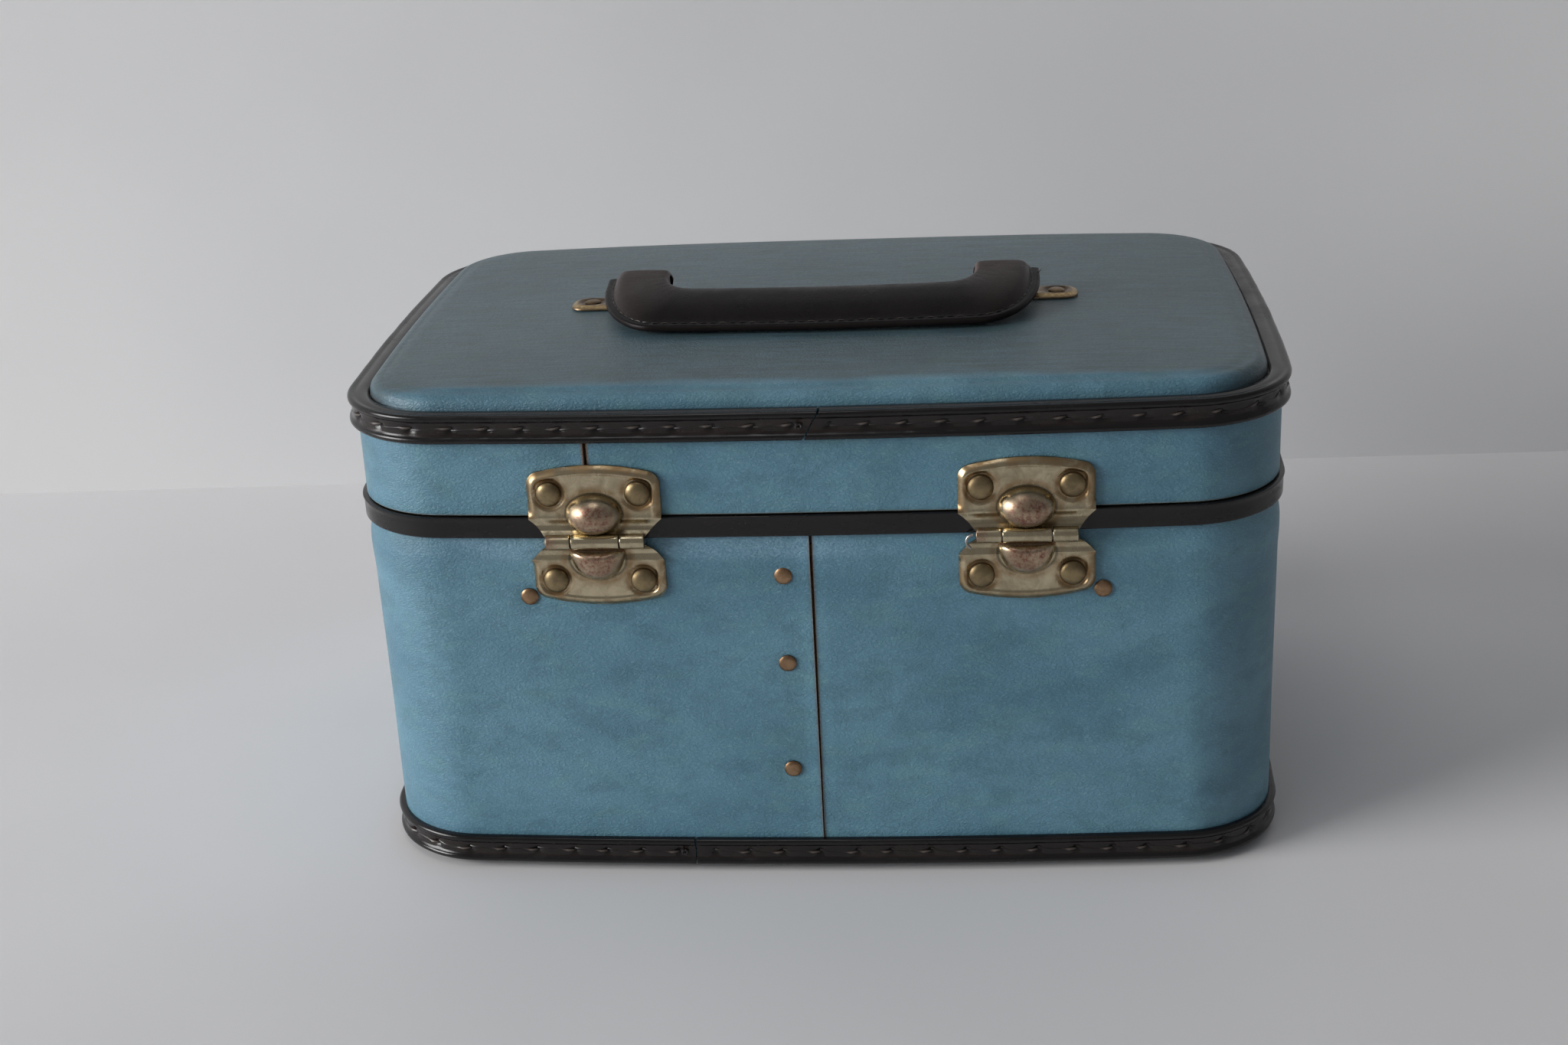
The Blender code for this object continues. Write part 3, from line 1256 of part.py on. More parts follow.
def main():
    """Build the whole case."""
    clear_scene()
    build_body()
    lid_axis = build_lid()
    build_handle(lid_axis)
    build_sliders()


main()
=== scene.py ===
"""Looks of a blue leathercloth vanity case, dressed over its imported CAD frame.

Metres, +Z up, hinge side towards -Y. The case stands on z = 0.
"""

import logging
import math
import random
from collections.abc import Callable, Mapping, Sequence
from dataclasses import dataclass, field
from enum import Enum
from typing import Any

import bmesh
import bpy
import numpy as np
from mathutils import Matrix, Vector


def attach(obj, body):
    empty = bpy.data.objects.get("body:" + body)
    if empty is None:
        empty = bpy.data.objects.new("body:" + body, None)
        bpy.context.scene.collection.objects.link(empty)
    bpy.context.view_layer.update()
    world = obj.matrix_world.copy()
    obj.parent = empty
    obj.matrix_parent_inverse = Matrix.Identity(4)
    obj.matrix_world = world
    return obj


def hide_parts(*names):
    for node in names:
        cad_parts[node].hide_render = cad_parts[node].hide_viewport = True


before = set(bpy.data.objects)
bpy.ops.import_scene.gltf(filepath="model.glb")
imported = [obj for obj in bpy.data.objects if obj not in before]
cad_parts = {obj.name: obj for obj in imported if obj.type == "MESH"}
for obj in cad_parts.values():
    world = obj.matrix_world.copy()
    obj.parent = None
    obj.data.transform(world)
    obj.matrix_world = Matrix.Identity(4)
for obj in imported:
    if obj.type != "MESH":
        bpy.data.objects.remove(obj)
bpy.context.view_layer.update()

LOG = logging.getLogger("vanity_case")
Array = np.ndarray
Material = bpy.types.Material
Piece = bpy.types.Object
Socket = bpy.types.NodeSocket
MM = 0.001
FIT = 0.3 * MM
QUARTER = math.pi / 2


class Side(Enum):
    """The two hinges, latches and brackets, towards -X and +X."""

    LEFT = -1
    RIGHT = 1

    @property
    def word(self) -> str:
        """The side's word in the names of pieces and nodes."""
        return self.name.lower()


class Host(Enum):
    """The bodies that pieces ride on."""

    BODY = "case_body"
    LID = "lid"
    HANDLE = "handle"


def linear(colour: str) -> tuple[float, float, float, float]:
    """Turn an sRGB hex colour to linear.

    Args:
        colour: A colour such as "#4d7d99".

    Returns:
        Linear red, green and blue, with alpha 1.
    """
    shares = [int(colour[i:i + 2], 16) / 255 for i in (1, 3, 5)]
    red, green, blue = (s / 12.92 if s <= 0.04045 else ((s + 0.055) / 1.055) ** 2.4 for s in shares)
    return red, green, blue, 1.0


def smooth(value: Any, low: float, high: float) -> Any:
    """Ease a number or an array from 0 at low to 1 at high, which may be below low."""
    share = np.clip((value - low) / (high - low), 0.0, 1.0)
    return share * share * (3 - 2 * share)


def curve_through(points: Sequence[tuple[float, float]], steps: int) -> Array:
    """A smooth line through control points.

    Args:
        points: Control points, first and last on the line's ends.
        steps: Points laid between two control points.

    Returns:
        Points of the line, one row each.
    """
    knots = np.array([points[0], *points, points[-1]], float)
    rows = []
    for p0, p1, p2, p3 in zip(knots, knots[1:], knots[2:], knots[3:]):
        for i in range(steps):
            t = i / steps
            rows.append(0.5 * (2 * p1 + (p2 - p0) * t + (2 * p0 - 5 * p1 + 4 * p2 - p3) * t * t
                               + (3 * p1 - p0 - 3 * p2 + p3) * t ** 3))
    rows.append(knots[-1])
    return np.array(rows)


def arc_points(centre: tuple[float, float], radius: float, start: float, end: float, steps: int) -> list:
    """Points of an arc in a plane from one angle in degrees to another, steps + 1 pairs."""
    angles = np.radians(np.linspace(start, end, steps + 1))
    return [(centre[0] + radius * math.cos(a), centre[1] + radius * math.sin(a)) for a in angles]


@dataclass
class Skin:
    """Points and faces of a mesh, with named values for each point."""

    points: Array
    faces: list
    masks: dict[str, Array] = field(default_factory=dict)

    @staticmethod
    def grid(points: Array, round_rows: bool = False, round_columns: bool = False,
             caps: bool = False) -> "Skin":
        """A skin over rows and columns of points.

        Args:
            points: Array of rows x columns x 3.
            round_rows: Whether the last row joins the first.
            round_columns: Whether the last column joins the first.
            caps: Whether the first and last row are closed by one face each.

        Returns:
            The skin.
        """
        rows, columns = points.shape[:2]
        index = np.arange(rows * columns).reshape(rows, columns)
        if round_columns:
            index = np.concatenate((index, index[:, :1]), 1)
        if round_rows:
            index = np.concatenate((index, index[:1]), 0)
        quads = np.stack((index[:-1, :-1], index[:-1, 1:], index[1:, 1:], index[1:, :-1]), -1)
        faces = quads.reshape(-1, 4).tolist()
        if caps:
            faces.append(list(range(columns))[::-1])
            faces.append([(rows - 1) * columns + i for i in range(columns)])
        return Skin(points.reshape(-1, 3), faces)

    @staticmethod
    def loft(rings: Any) -> "Skin":
        """A closed skin over rings of points, with a face on each end."""
        return Skin.grid(np.array(rings), round_columns=True, caps=True)

    def joined(self, *others: "Skin") -> "Skin":
        """This skin with others beside it.

        Args:
            others: Skins to add; a mask that one lacks is 0 there.

        Returns:
            One skin.
        """
        skins = [self, *others]
        names = sorted({name for skin in skins for name in skin.masks})
        faces, start = [], 0
        for skin in skins:
            faces += [[i + start for i in face] for face in skin.faces]
            start += len(skin.points)
        masks = {n: np.concatenate([s.masks.get(n, np.zeros(len(s.points))) for s in skins]) for n in names}
        return Skin(np.concatenate([s.points for s in skins]), faces, masks)

    def placed(self, matrix: Matrix) -> "Skin":
        """This skin moved by a placement, with the same faces and masks."""
        turn = np.array(matrix.to_3x3())
        return Skin(self.points @ turn.T + np.array(matrix.translation), self.faces, self.masks)


def run_along(line: Array) -> Array:
    """Length from a line's first point to each of its points."""
    return np.concatenate(([0.0], np.cumsum(np.linalg.norm(np.diff(line, axis=0), axis=1))))


def level(flat: Array, height: Any) -> Array:
    """Points over x, y rows, at one height or at one for each row."""
    return np.column_stack((flat, np.broadcast_to(height, len(flat))))


@dataclass(frozen=True)
class Stations:
    """Stations round the case's plan, each on an arc."""

    centre: Array
    radius: Array
    angle: Array
    opened: bool = False

    def at(self, offset: Any) -> Array:
        """Points of the plan moved out by one offset, or by one for each station, as x, y rows."""
        reach = self.radius + offset
        return self.centre + np.stack((reach * np.cos(self.angle), reach * np.sin(self.angle)), -1)

    def run(self) -> Array:
        """Length from the first station to each along the wall's face."""
        return run_along(self.at(0.0))

    def along(self) -> Array:
        """Unit direction of the run at each station, as x, y rows."""
        return np.stack((-np.sin(self.angle), np.cos(self.angle)), -1)

    def out(self) -> Array:
        """Unit direction out of the wall at each station, as x, y rows."""
        return np.stack((np.cos(self.angle), np.sin(self.angle)), -1)


@dataclass(frozen=True)
class CasePlan:
    """The case's plan: bowed sides that run smoothly into round corners."""

    width: float = 330 * MM
    depth: float = 222 * MM
    corner_radius: float = 36.5 * MM
    long_bow: float = 3.5 * MM
    short_bow: float = 1.5 * MM

    def arcs(self) -> list[tuple[tuple[float, float], float, float, float]]:
        """The plan's arcs, round from the hinge side.

        Returns:
            Centre, radius, first and last angle of each.
        """
        half_x, half_y, r, q = self.width / 2, self.depth / 2, self.corner_radius, QUARTER
        a = 2 * math.atan(self.long_bow / (half_x - r))
        b = 2 * math.atan(self.short_bow / (half_y - r))
        m = ((math.sin(a), 1 - math.cos(b)), (1 - math.cos(a), math.sin(b)))
        right = (half_x + r * (math.sin(a) - math.cos(b)), half_y + r * (math.sin(b) - math.cos(a)))
        det = m[0][0] * m[1][1] - m[0][1] * m[1][0]
        long_radius = (right[0] * m[1][1] - right[1] * m[0][1]) / det
        short_radius = (m[0][0] * right[1] - m[1][0] * right[0]) / det
        lc, sc = long_radius - half_y, half_x - short_radius
        cx, cy = (long_radius - r) * math.sin(a), lc - (long_radius - r) * math.cos(a)
        return [
            ((0.0, lc), long_radius, -q - a, -q + a),
            ((cx, cy), r, -q + a, -b),
            ((sc, 0.0), short_radius, -b, b),
            ((cx, -cy), r, b, q - a),
            ((0.0, -lc), long_radius, q - a, q + a),
            ((-cx, -cy), r, q + a, 2 * q - b),
            ((-sc, 0.0), short_radius, 2 * q - b, 2 * q + b),
            ((-cx, cy), r, 2 * q + b, 3 * q - a),
        ]

    def stations(self, start_x: float = 0.0, gap: float = 0.0, fine: float = MM,
                 step: float = 2.5 * MM) -> Stations:
        """Stations from a point of the hinge side round the case and back to it.

        Args:
            start_x: Where the run starts and ends.
            gap: Width left open there, 0 for a closed run.
            fine: Spacing on the hinge side.
            step: Spacing on the other sides.

        Returns:
            The stations. A closed run leaves out its last one.
        """
        arcs = self.arcs()
        (centre, radius, first, last), others = arcs[0], arcs[1:]
        ends = [math.asin((start_x + s * gap / 2) / radius) - QUARTER for s in (1, -1)]
        spans = [(centre, radius, ends[0], last, fine)]
        spans += [(*arc, step) for arc in others]
        spans.append((centre, radius, first, ends[1], fine))
        rows = []
        for middle, reach, begin, end, space in spans:
            count = max(3, round(reach * abs(end - begin) / space))
            for angle in np.linspace(begin, end, count + 1)[:-1]:
                rows.append((*middle, reach, angle))
        if gap:
            rows.append((*centre, radius, ends[1]))
            near = 0.2 * MM / radius
            rows.insert(1, (*centre, radius, ends[0] + near))
            rows.insert(-1, (*centre, radius, ends[1] - near))
        table = np.array(rows)
        return Stations(table[:, :2], table[:, 2], table[:, 3], gap > 0)

    def wall(self, x: float, offset: float = 0.0) -> float:
        """Distance from the middle plane to the hinge-side wall at x, or to an offset out of its face."""
        centre, radius, _, _ = self.arcs()[0]
        return math.sqrt((radius + offset) ** 2 - x * x) - centre[1]

    def slope(self, x: float) -> float:
        """How fast that distance shrinks with x."""
        radius = self.arcs()[0][1]
        return x / math.sqrt(radius ** 2 - x * x)


PLAN = CasePlan()
HINGE_X = 74 * MM
PIVOT_X = 68.2 * MM
SEAM_RIVETS = ((-10 * MM, 116.3 * MM), (-10 * MM, 82.9 * MM), (-10 * MM, 41.1 * MM))
ELASTIC_RIVETS = ((-100 * MM, 109 * MM), (100 * MM, 109 * MM))


def sweep(stations: Stations, section: Sequence[tuple[float, float]],
          shape: Callable[[Array, Array, Array], tuple[Array, Array]] | None = None,
          shift: Callable[[Array, Array, Array], Array] | None = None) -> Skin:
    """Carry a closed section round the case.

    Args:
        stations: Where the section stands.
        section: Pairs of offset from the wall and height, in order round the section.
        shape: Gives new offsets and heights from the run, the offsets and the heights.
        shift: Gives a move along the run from the same three.

    Returns:
        A closed skin with a mask "end" that is 1 on the open ends.
    """
    pairs = np.array(section, float)
    run = stations.run()[:, None]
    count = len(run)
    offset = np.broadcast_to(pairs[:, 0], (count, len(pairs))).copy()
    height = np.broadcast_to(pairs[:, 1], (count, len(pairs))).copy()
    slide = shift(run, offset, height) if shift else None
    if shape:
        offset, height = shape(run, offset, height)
    out, base = stations.out()[:, None, :], stations.at(0.0)[:, None, :]
    flat = base + out * offset[..., None]
    if slide is not None:
        flat = flat + stations.along()[:, None, :] * slide[..., None]
    points = np.concatenate((flat, height[..., None]), -1)
    skin = Skin.grid(points, round_rows=not stations.opened, round_columns=True, caps=stations.opened)
    end = np.zeros((count, len(pairs)))
    if stations.opened:
        end[0], end[-1] = 1.0, 1.0
    skin.masks["end"] = end.ravel()
    return skin


def tube(path: Array, radius: Any, sides: int = 6) -> Skin:
    """A round thread or wire along a path.

    Args:
        path: Its middle line, one row each.
        radius: One radius, or one for each row.
        sides: Flats round it.

    Returns:
        A closed skin.
    """
    count = len(path)
    reach = np.broadcast_to(np.asarray(radius, float), (count,))
    before, after = np.roll(path, 1, 0), np.roll(path, -1, 0)
    before[0], after[-1] = path[0], path[-1]
    tangent = after - before
    tangent /= np.linalg.norm(tangent, axis=1)[:, None]
    helper = np.array((0.0, 0.0, 1.0)) if abs(tangent[0][2]) < 0.9 else np.array((1.0, 0.0, 0.0))
    rings = []
    for t, p, r in zip(tangent, path, reach):
        side = np.cross(t, helper)
        side /= np.linalg.norm(side)
        helper = np.cross(side, t)
        angles = np.arange(sides) * 2 * math.pi / sides
        rings.append(p + r * (np.outer(np.cos(angles), side) + np.outer(np.sin(angles), helper)))
    return Skin.loft(rings)


def turned(profile: Sequence[tuple[float, float]], steps: int = 36) -> Skin:
    """Turn a profile about Z.

    Args:
        profile: Pairs of radius and height from the top's middle outwards and down.
        steps: Facets round it.

    Returns:
        A closed skin.
    """
    angles = np.arange(steps) * 2 * math.pi / steps
    least = 0.01 * MM
    rows = [[(max(r, least) * math.cos(a), max(r, least) * math.sin(a), z) for a in angles]
            for r, z in profile]
    return Skin.loft(rows)


def add_object(name: str, data: Any) -> Piece:
    """Put a mesh, lamp or camera in the scene.

    Args:
        name: The object's name.
        data: What it shows.

    Returns:
        The object.
    """
    item = bpy.data.objects.new(name, data)
    bpy.context.scene.collection.objects.link(item)
    return item


def mesh_of(name: str, skin: Skin) -> bpy.types.Mesh:
    """Make a mesh of a closed skin, its faces turned outwards.

    Args:
        name: The mesh's name.
        skin: Its points and faces.

    Returns:
        The mesh.
    """
    mesh = bpy.data.meshes.new(name)
    mesh.from_pydata(skin.points.tolist(), [], skin.faces)
    bm = bmesh.new()
    bm.from_mesh(mesh)
    bmesh.ops.recalc_face_normals(bm, faces=bm.faces)
    bm.to_mesh(mesh)
    bm.free()
    return mesh


def put(name: str, skin: Skin, finish: Material, host: Host, nodes: Sequence[str] = (),
        crease: float = 35.0) -> Piece:
    """Make one piece, dress it and put it on its body.

    Args:
        name: The piece's name.
        skin: Its points, faces and masks.
        finish: Its material.
        host: The body that it rides on.
        nodes: CAD nodes that it stands for.
        crease: Angle in degrees above which an edge stays sharp.

    Returns:
        The piece.
    """
    mesh = mesh_of(name, skin)
    for key, values in skin.masks.items():
        layer = mesh.attributes.new(key, "FLOAT", "POINT")
        layer.data.foreach_set("value", np.asarray(values, np.float32).ravel())
    mesh.materials.append(finish)
    mesh.shade_smooth()
    mesh.set_sharp_from_angle(angle=math.radians(crease))
    piece = add_object(name, mesh)
    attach(piece, host.value)
    if nodes:
        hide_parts(*nodes)
    LOG.info("piece %s: %d points", name, len(skin.points))
    return piece


def add_node(tree: bpy.types.NodeTree, kind: str, inputs: Mapping[Any, Any] | None = None,
             **settings: Any) -> bpy.types.Node:
    """Add a node with its settings and its inputs.

    Args:
        tree: The material's tree.
        kind: The node's type.
        inputs: A value or another node's output for each input, by name or number.
        settings: Values of the node's own settings.

    Returns:
        The node.
    """
    item = tree.nodes.new(kind)
    for key, value in settings.items():
        setattr(item, key, value)
    for key, value in (inputs or {}).items():
        if isinstance(value, Socket):
            tree.links.new(value, item.inputs[key])
        else:
            item.inputs[key].default_value = value
    return item


class Kind(Enum):
    """Kinds of node, each by its type, the inputs that its values go to, its main output and its settings."""

    MOVE = ("ShaderNodeMapping", ("Vector", "Rotation", "Scale"), 0, {})
    CLOUDS = ("ShaderNodeTexNoise", ("Vector", "Scale", "Detail", "Roughness", "Distortion"), 0, {})
    WANDER = ("ShaderNodeTexNoise", ("Vector", "Scale", "Detail"), "Color", {})
    BEND = ("ShaderNodeVectorMath", (0, 1, 2), 0, {"operation": "MULTIPLY_ADD"})
    CELLS = ("ShaderNodeTexVoronoi", ("Vector", "Scale"), "Distance", {"feature": "DISTANCE_TO_EDGE"})
    MASK = ("ShaderNodeAttribute", (), "Fac", {})
    SPAN = ("ShaderNodeMapRange", (0, 1, 2, 3, 4), 0, {"interpolation_type": "SMOOTHSTEP"})
    TIMES = ("ShaderNodeMath", (0, 1), 0, {"operation": "MULTIPLY"})
    PLUS = ("ShaderNodeMath", (0, 1), 0, {"operation": "ADD"})
    LESS = ("ShaderNodeMath", (0, 1), 0, {"operation": "SUBTRACT"})
    MOST = ("ShaderNodeMath", (0, 1), 0, {"operation": "MAXIMUM"})
    BLEND = ("ShaderNodeMix", (0, 6, 7), 2, {"data_type": "RGBA"})
    RELIEF = ("ShaderNodeBump", ("Height", "Distance", "Strength", "Normal"), 0, {})


class Finish:
    """A material's tree while it is being laid, in metres of the case's own frame."""

    def __init__(self, name: str) -> None:
        """Start a material with its shader and the case's coordinates.

        Args:
            name: The material's name.
        """
        self.material = bpy.data.materials.new(name)
        self.material.use_nodes = True
        self.tree = self.material.node_tree
        self.shader = self.tree.nodes["Principled BSDF"]
        self.place = add_node(self.tree, "ShaderNodeTexCoord").outputs["Object"]

    def add(self, kind: Kind, *values: Any, **settings: Any) -> Socket:
        """Add a node of a kind.

        Args:
            kind: What it does.
            values: A number, a hex colour or another node's output for each of its inputs.
            settings: More of the node's own settings.

        Returns:
            Its main output.
        """
        type_name, keys, output, own = kind.value
        inputs = {key: linear(v) if isinstance(v, str) else v for key, v in zip(keys, values)}
        return add_node(self.tree, type_name, inputs, **own, **settings).outputs[output]

    def masks(self, *names: str) -> list[Socket]:
        """Named values of the mesh's points, 0 where the mesh has none."""
        return [self.add(Kind.MASK, attribute_name=name) for name in names]

    def clouds(self, size: float, detail: float = 3.0, rough: float = 0.5, stretch: tuple = (1, 1, 1),
               turn: tuple = (0, 0, 0), warp: float = 0.0) -> Socket:
        """Cloudy values from 0 to 1: size in metres, octaves and their strength, stretch, turn and warp."""
        laid = self.add(Kind.MOVE, self.place, turn, tuple(1 / s for s in stretch))
        return self.add(Kind.CLOUDS, laid, 1 / size, detail, rough, warp)

    def creases(self, size: float, stretch: tuple, turn: tuple = (0, 0, 0),
                wander: float = 0.35) -> Socket:
        """A net of creases of a real size, its lines bent by clouds.

        Args:
            size: Size of one cell in metres.
            stretch: How much longer the cells are along x, y and z.
            turn: Turn of the pattern in radians.
            wander: How far the lines wander, as a share of a cell.

        Returns:
            The distance from a crease.
        """
        bend = self.add(Kind.WANDER, self.place, 0.6 / size, 2.0)
        moved = self.add(Kind.BEND, bend, (wander * size,) * 3, self.place)
        laid = self.add(Kind.MOVE, moved, turn, tuple(1 / s for s in stretch))
        return self.add(Kind.CELLS, laid, 1 / size)

    def layered(self, colour: str, *layers: tuple[Any, str]) -> Socket:
        """Lay colours over one another.

        Args:
            colour: The lowest, as a hex colour.
            layers: For each layer the share that shows and its hex colour.

        Returns:
            The colour on top.
        """
        for share, over in layers:
            colour = self.add(Kind.BLEND, share, colour, over)
        return colour

    def finished(self, colour: Any, rough: Any, normal: Any = None, **values: Any) -> Material:
        """Join everything to the shader.

        Args:
            colour: A socket.
            rough: A number or a socket.
            normal: A relief's socket.
            values: The shader's other inputs, with _ for each space.

        Returns:
            The material.
        """
        sockets = {"Base Color": colour, "Roughness": rough}
        if normal is not None:
            sockets["Normal"] = normal
        sockets.update({key.replace("_", " "): value for key, value in values.items()})
        for key, value in sockets.items():
            if isinstance(value, Socket):
                self.tree.links.new(value, self.shader.inputs[key])
            else:
                self.shader.inputs[key].default_value = value
        return self.material


@dataclass(frozen=True)
class GrainedLeathercloth:
    """Vinyl-coated cloth, embossed with a fine kid grain and glued over board.

    It gives a soft sheen, a net of creases about a millimetre wide and cloudy blue that has faded unevenly.
    Its colour also holds painted shade in the creases, a painted highlight on the grain's ridges and a
    painted sheen below the rim.
    """

    name: str = "vinyl_leathercloth_embossed"
    deep: str = "#547e93"
    blue: str = "#6590a4"
    faded: str = "#6e9d98"
    ridge: str = "#92b9c6"
    valley: str = "#426876"
    grime: str = "#3a4240"
    board: str = "#7a5a3c"
    pale_edge: str = "#a9ada2"
    spot: str = "#363c3b"
    shadow: str = "#33434b"
    # Tint of the painted sheen on the body's wall below the rim strip.
    haze: str = "#8eaec4"
    clouds: float = 42 * MM
    patches: float = 8 * MM
    mottles: float = 12 * MM
    grain: float = 1.05 * MM
    streak: float = 1.4 * MM
    spots: float = 9 * MM
    wear: float = 70 * MM
    relief: float = 0.22 * MM
    rough: float = 0.40

    def build(self) -> Material:
        """Lay the material's nodes.

        Returns:
            The material.
        """
        f = Finish(self.name)
        soil, shade, bloom, end, raw, pale = f.masks("soil", "shade", "bloom", "end", "raw", "pale")
        lean = (0.0, math.radians(-38), 0.0)
        net = f.add(Kind.SPAN, f.creases(self.grain, (1.7, 1.0, 1.0), lean, 1.1), 0.0, 0.24)
        fine = f.clouds(0.62 * self.grain, 4.0, 0.62, (2.0, 1.0, 1.0), lean, 0.1)
        wrinkle = f.clouds(5 * self.grain, 2.0, 0.5, (2.6, 1.0, 1.0), lean, 0.6)
        clouds = f.clouds(self.clouds, 5.0, 0.6, (1.8, 1.8, 1.0))
        patches = f.clouds(self.patches, 4.0, 0.65, (2.2, 2.2, 1.0), warp=0.4)
        mottle = f.clouds(self.mottles, 6.0, 0.72, (1.5, 1.5, 1.0), warp=0.3)
        # Dust lies in streaks along the case on the lid's flat field
        streaks = f.add(Kind.SPAN, f.clouds(self.streak, 4.0, 0.65, (16.0, 1.0, 1.0)), 0.28, 0.72, 0.56, 0.86)
        spots = f.add(Kind.SPAN, f.clouds(self.spots, 2.0, 0.5, (2, 1, 1)), 0.62, 0.80, 0.0, 0.25)
        colour = f.layered(
            self.deep,
            (f.add(Kind.SPAN, clouds, 0.36, 0.66), self.blue),
            (f.add(Kind.SPAN, patches, 0.46, 0.74, 0.0, 0.32), self.faded),
            (f.add(Kind.SPAN, mottle, 0.44, 0.66, 0.0, 0.42), self.valley),
            # Painted highlight: paler colour on the high points of the fine grain.
            (f.add(Kind.SPAN, fine, 0.50, 0.78, 0.0, 0.36), self.ridge),
            # Painted shade: darker colour down in the grain's creases.
            (f.add(Kind.TIMES, f.add(Kind.LESS, 1.0, net), 0.20), self.valley),
            (f.add(Kind.TIMES, soil, streaks, use_clamp=True), self.grime),
            (f.add(Kind.TIMES, soil, spots), self.spot),
            (shade, self.shadow),
            # Painted sheen: a paler band on the body's wall just below the rim strip.
            (f.add(Kind.TIMES, bloom, f.add(Kind.SPAN, fine, 0.35, 0.65, 0.10, 0.42)), self.haze),
            (f.add(Kind.MOST, end, raw, use_clamp=True), self.board),
            (pale, self.pale_edge))
        rough = f.add(Kind.PLUS, f.add(Kind.SPAN, fine, 0.3, 0.7, self.rough - 0.05, self.rough + 0.07),
                      f.add(Kind.TIMES, soil, -0.07))
        worn = f.add(Kind.TIMES, f.add(Kind.SPAN, f.clouds(self.wear, 2.0), 0.38, 0.62, 0.55, 1.0),
                     f.add(Kind.SPAN, soil, 0.0, 1.0, 1.0, 0.4))
        normal = f.add(Kind.RELIEF, wrinkle, 1.8 * self.relief, 0.6)
        normal = f.add(Kind.RELIEF, net, 0.45 * self.relief, 0.5, normal)
        normal = f.add(Kind.RELIEF, f.add(Kind.TIMES, fine, worn), 1.6 * self.relief, 0.9, normal)
        return f.finished(colour, rough, normal, Specular_IOR_Level=0.5)


@dataclass(frozen=True)
class ExtrudedBinding:
    """Brown-black plastic binding, extruded with two beads and sewn on.

    It gives a low gloss with fine drawn lines along its length, rust-brown dust in its groove and painted
    shade in its needle holes.
    """

    name: str = "plastic_binding_extruded"
    dark: str = "#100d0e"
    line: str = "#231c1d"
    dust: str = "#2a1e19"
    hole: str = "#0b0a0a"
    cut: str = "#5d3f2c"
    lines: float = 0.45 * MM
    scuffs: float = 7 * MM
    waves: float = 1.6 * MM
    relief: float = 0.05 * MM
    rough: float = 0.21

    def build(self) -> Material:
        """Lay the material's nodes.

        Returns:
            The material.
        """
        f = Finish(self.name)
        dust, hole, raw = f.masks("dust", "hole", "raw")
        drawn = f.clouds(self.lines, 2.0, 0.5, (60.0, 60.0, 1.0))
        scuff = f.clouds(self.scuffs, 4.0, 0.65, (3.0, 3.0, 1.0))
        colour = f.layered(
            self.dark,
            (f.add(Kind.SPAN, drawn, 0.5, 0.8, 0.0, 0.55), self.line),
            (f.add(Kind.SPAN, scuff, 0.55, 0.8, 0.0, 0.4), self.line),
            (f.add(Kind.TIMES, dust, f.add(Kind.SPAN, scuff, 0.35, 0.65, 0.25, 0.8)), self.dust),
            # Painted shade in the needle holes.
            (hole, self.hole),
            (raw, self.cut))
        rough = f.add(Kind.SPAN, scuff, 0.3, 0.75, self.rough - 0.06, self.rough + 0.14)
        normal = f.add(Kind.RELIEF, drawn, self.relief, 0.6)
        normal = f.add(Kind.RELIEF, f.clouds(self.waves, 2.0), self.relief, 0.5, normal)
        return f.finished(colour, rough, normal, Specular_IOR_Level=0.42)


@dataclass(frozen=True)
class SewnLeather:
    """Cowhide, dyed near black, padded and sewn, with its grain rubbed smooth.

    It gives broad soft highlights, fine pores, painted shade in its stitch holes, and edges and leg tops
    greyed partly by the hand's wear and partly by a painted highlight.
    """

    name: str = "cowhide_dyed_rubbed"
    dark: str = "#100c0d"
    rubbed: str = "#1c1717"
    # Pale of the rubbed edges, partly wear and partly a painted highlight.
    worn: str = "#584b48"
    hole: str = "#0c0a0a"
    pore: float = 0.7 * MM
    clouds: float = 14 * MM
    scratch: float = 0.8 * MM
    rough: float = 0.34

    def build(self) -> Material:
        """Lay the material's nodes.

        Returns:
            The material.
        """
        f = Finish(self.name)
        rub, hole = f.masks("rub", "hole")
        net = f.add(Kind.SPAN, f.creases(self.pore, (1.4, 1.0, 1.0)), 0.0, 0.25)
        cloud = f.clouds(self.clouds, 4.0, 0.6)
        scratch = f.clouds(self.scratch, 3.0, 0.6, (9.0, 1.0, 1.0), (0, 0, 0.35))
        colour = f.layered(
            self.dark,
            (f.add(Kind.SPAN, cloud, 0.35, 0.75, 0.0, 0.35), self.rubbed),
            # Wear and painted highlight: pale on the grip's inner top edge and on the legs.
            (f.add(Kind.TIMES, rub, f.add(Kind.SPAN, scratch, 0.2, 0.8, 0.55, 1.0)), self.worn),
            # Painted shade in the stitch holes.
            (hole, self.hole))
        rough = f.add(Kind.SPAN, cloud, 0.3, 0.7, self.rough - 0.07, self.rough + 0.08)
        normal = f.add(Kind.RELIEF, f.clouds(4 * MM, 2.0), 0.14 * MM, 0.4)
        normal = f.add(Kind.RELIEF, net, 0.05 * MM, 0.5, normal)
        return f.finished(colour, rough, normal, Specular_IOR_Level=0.13)


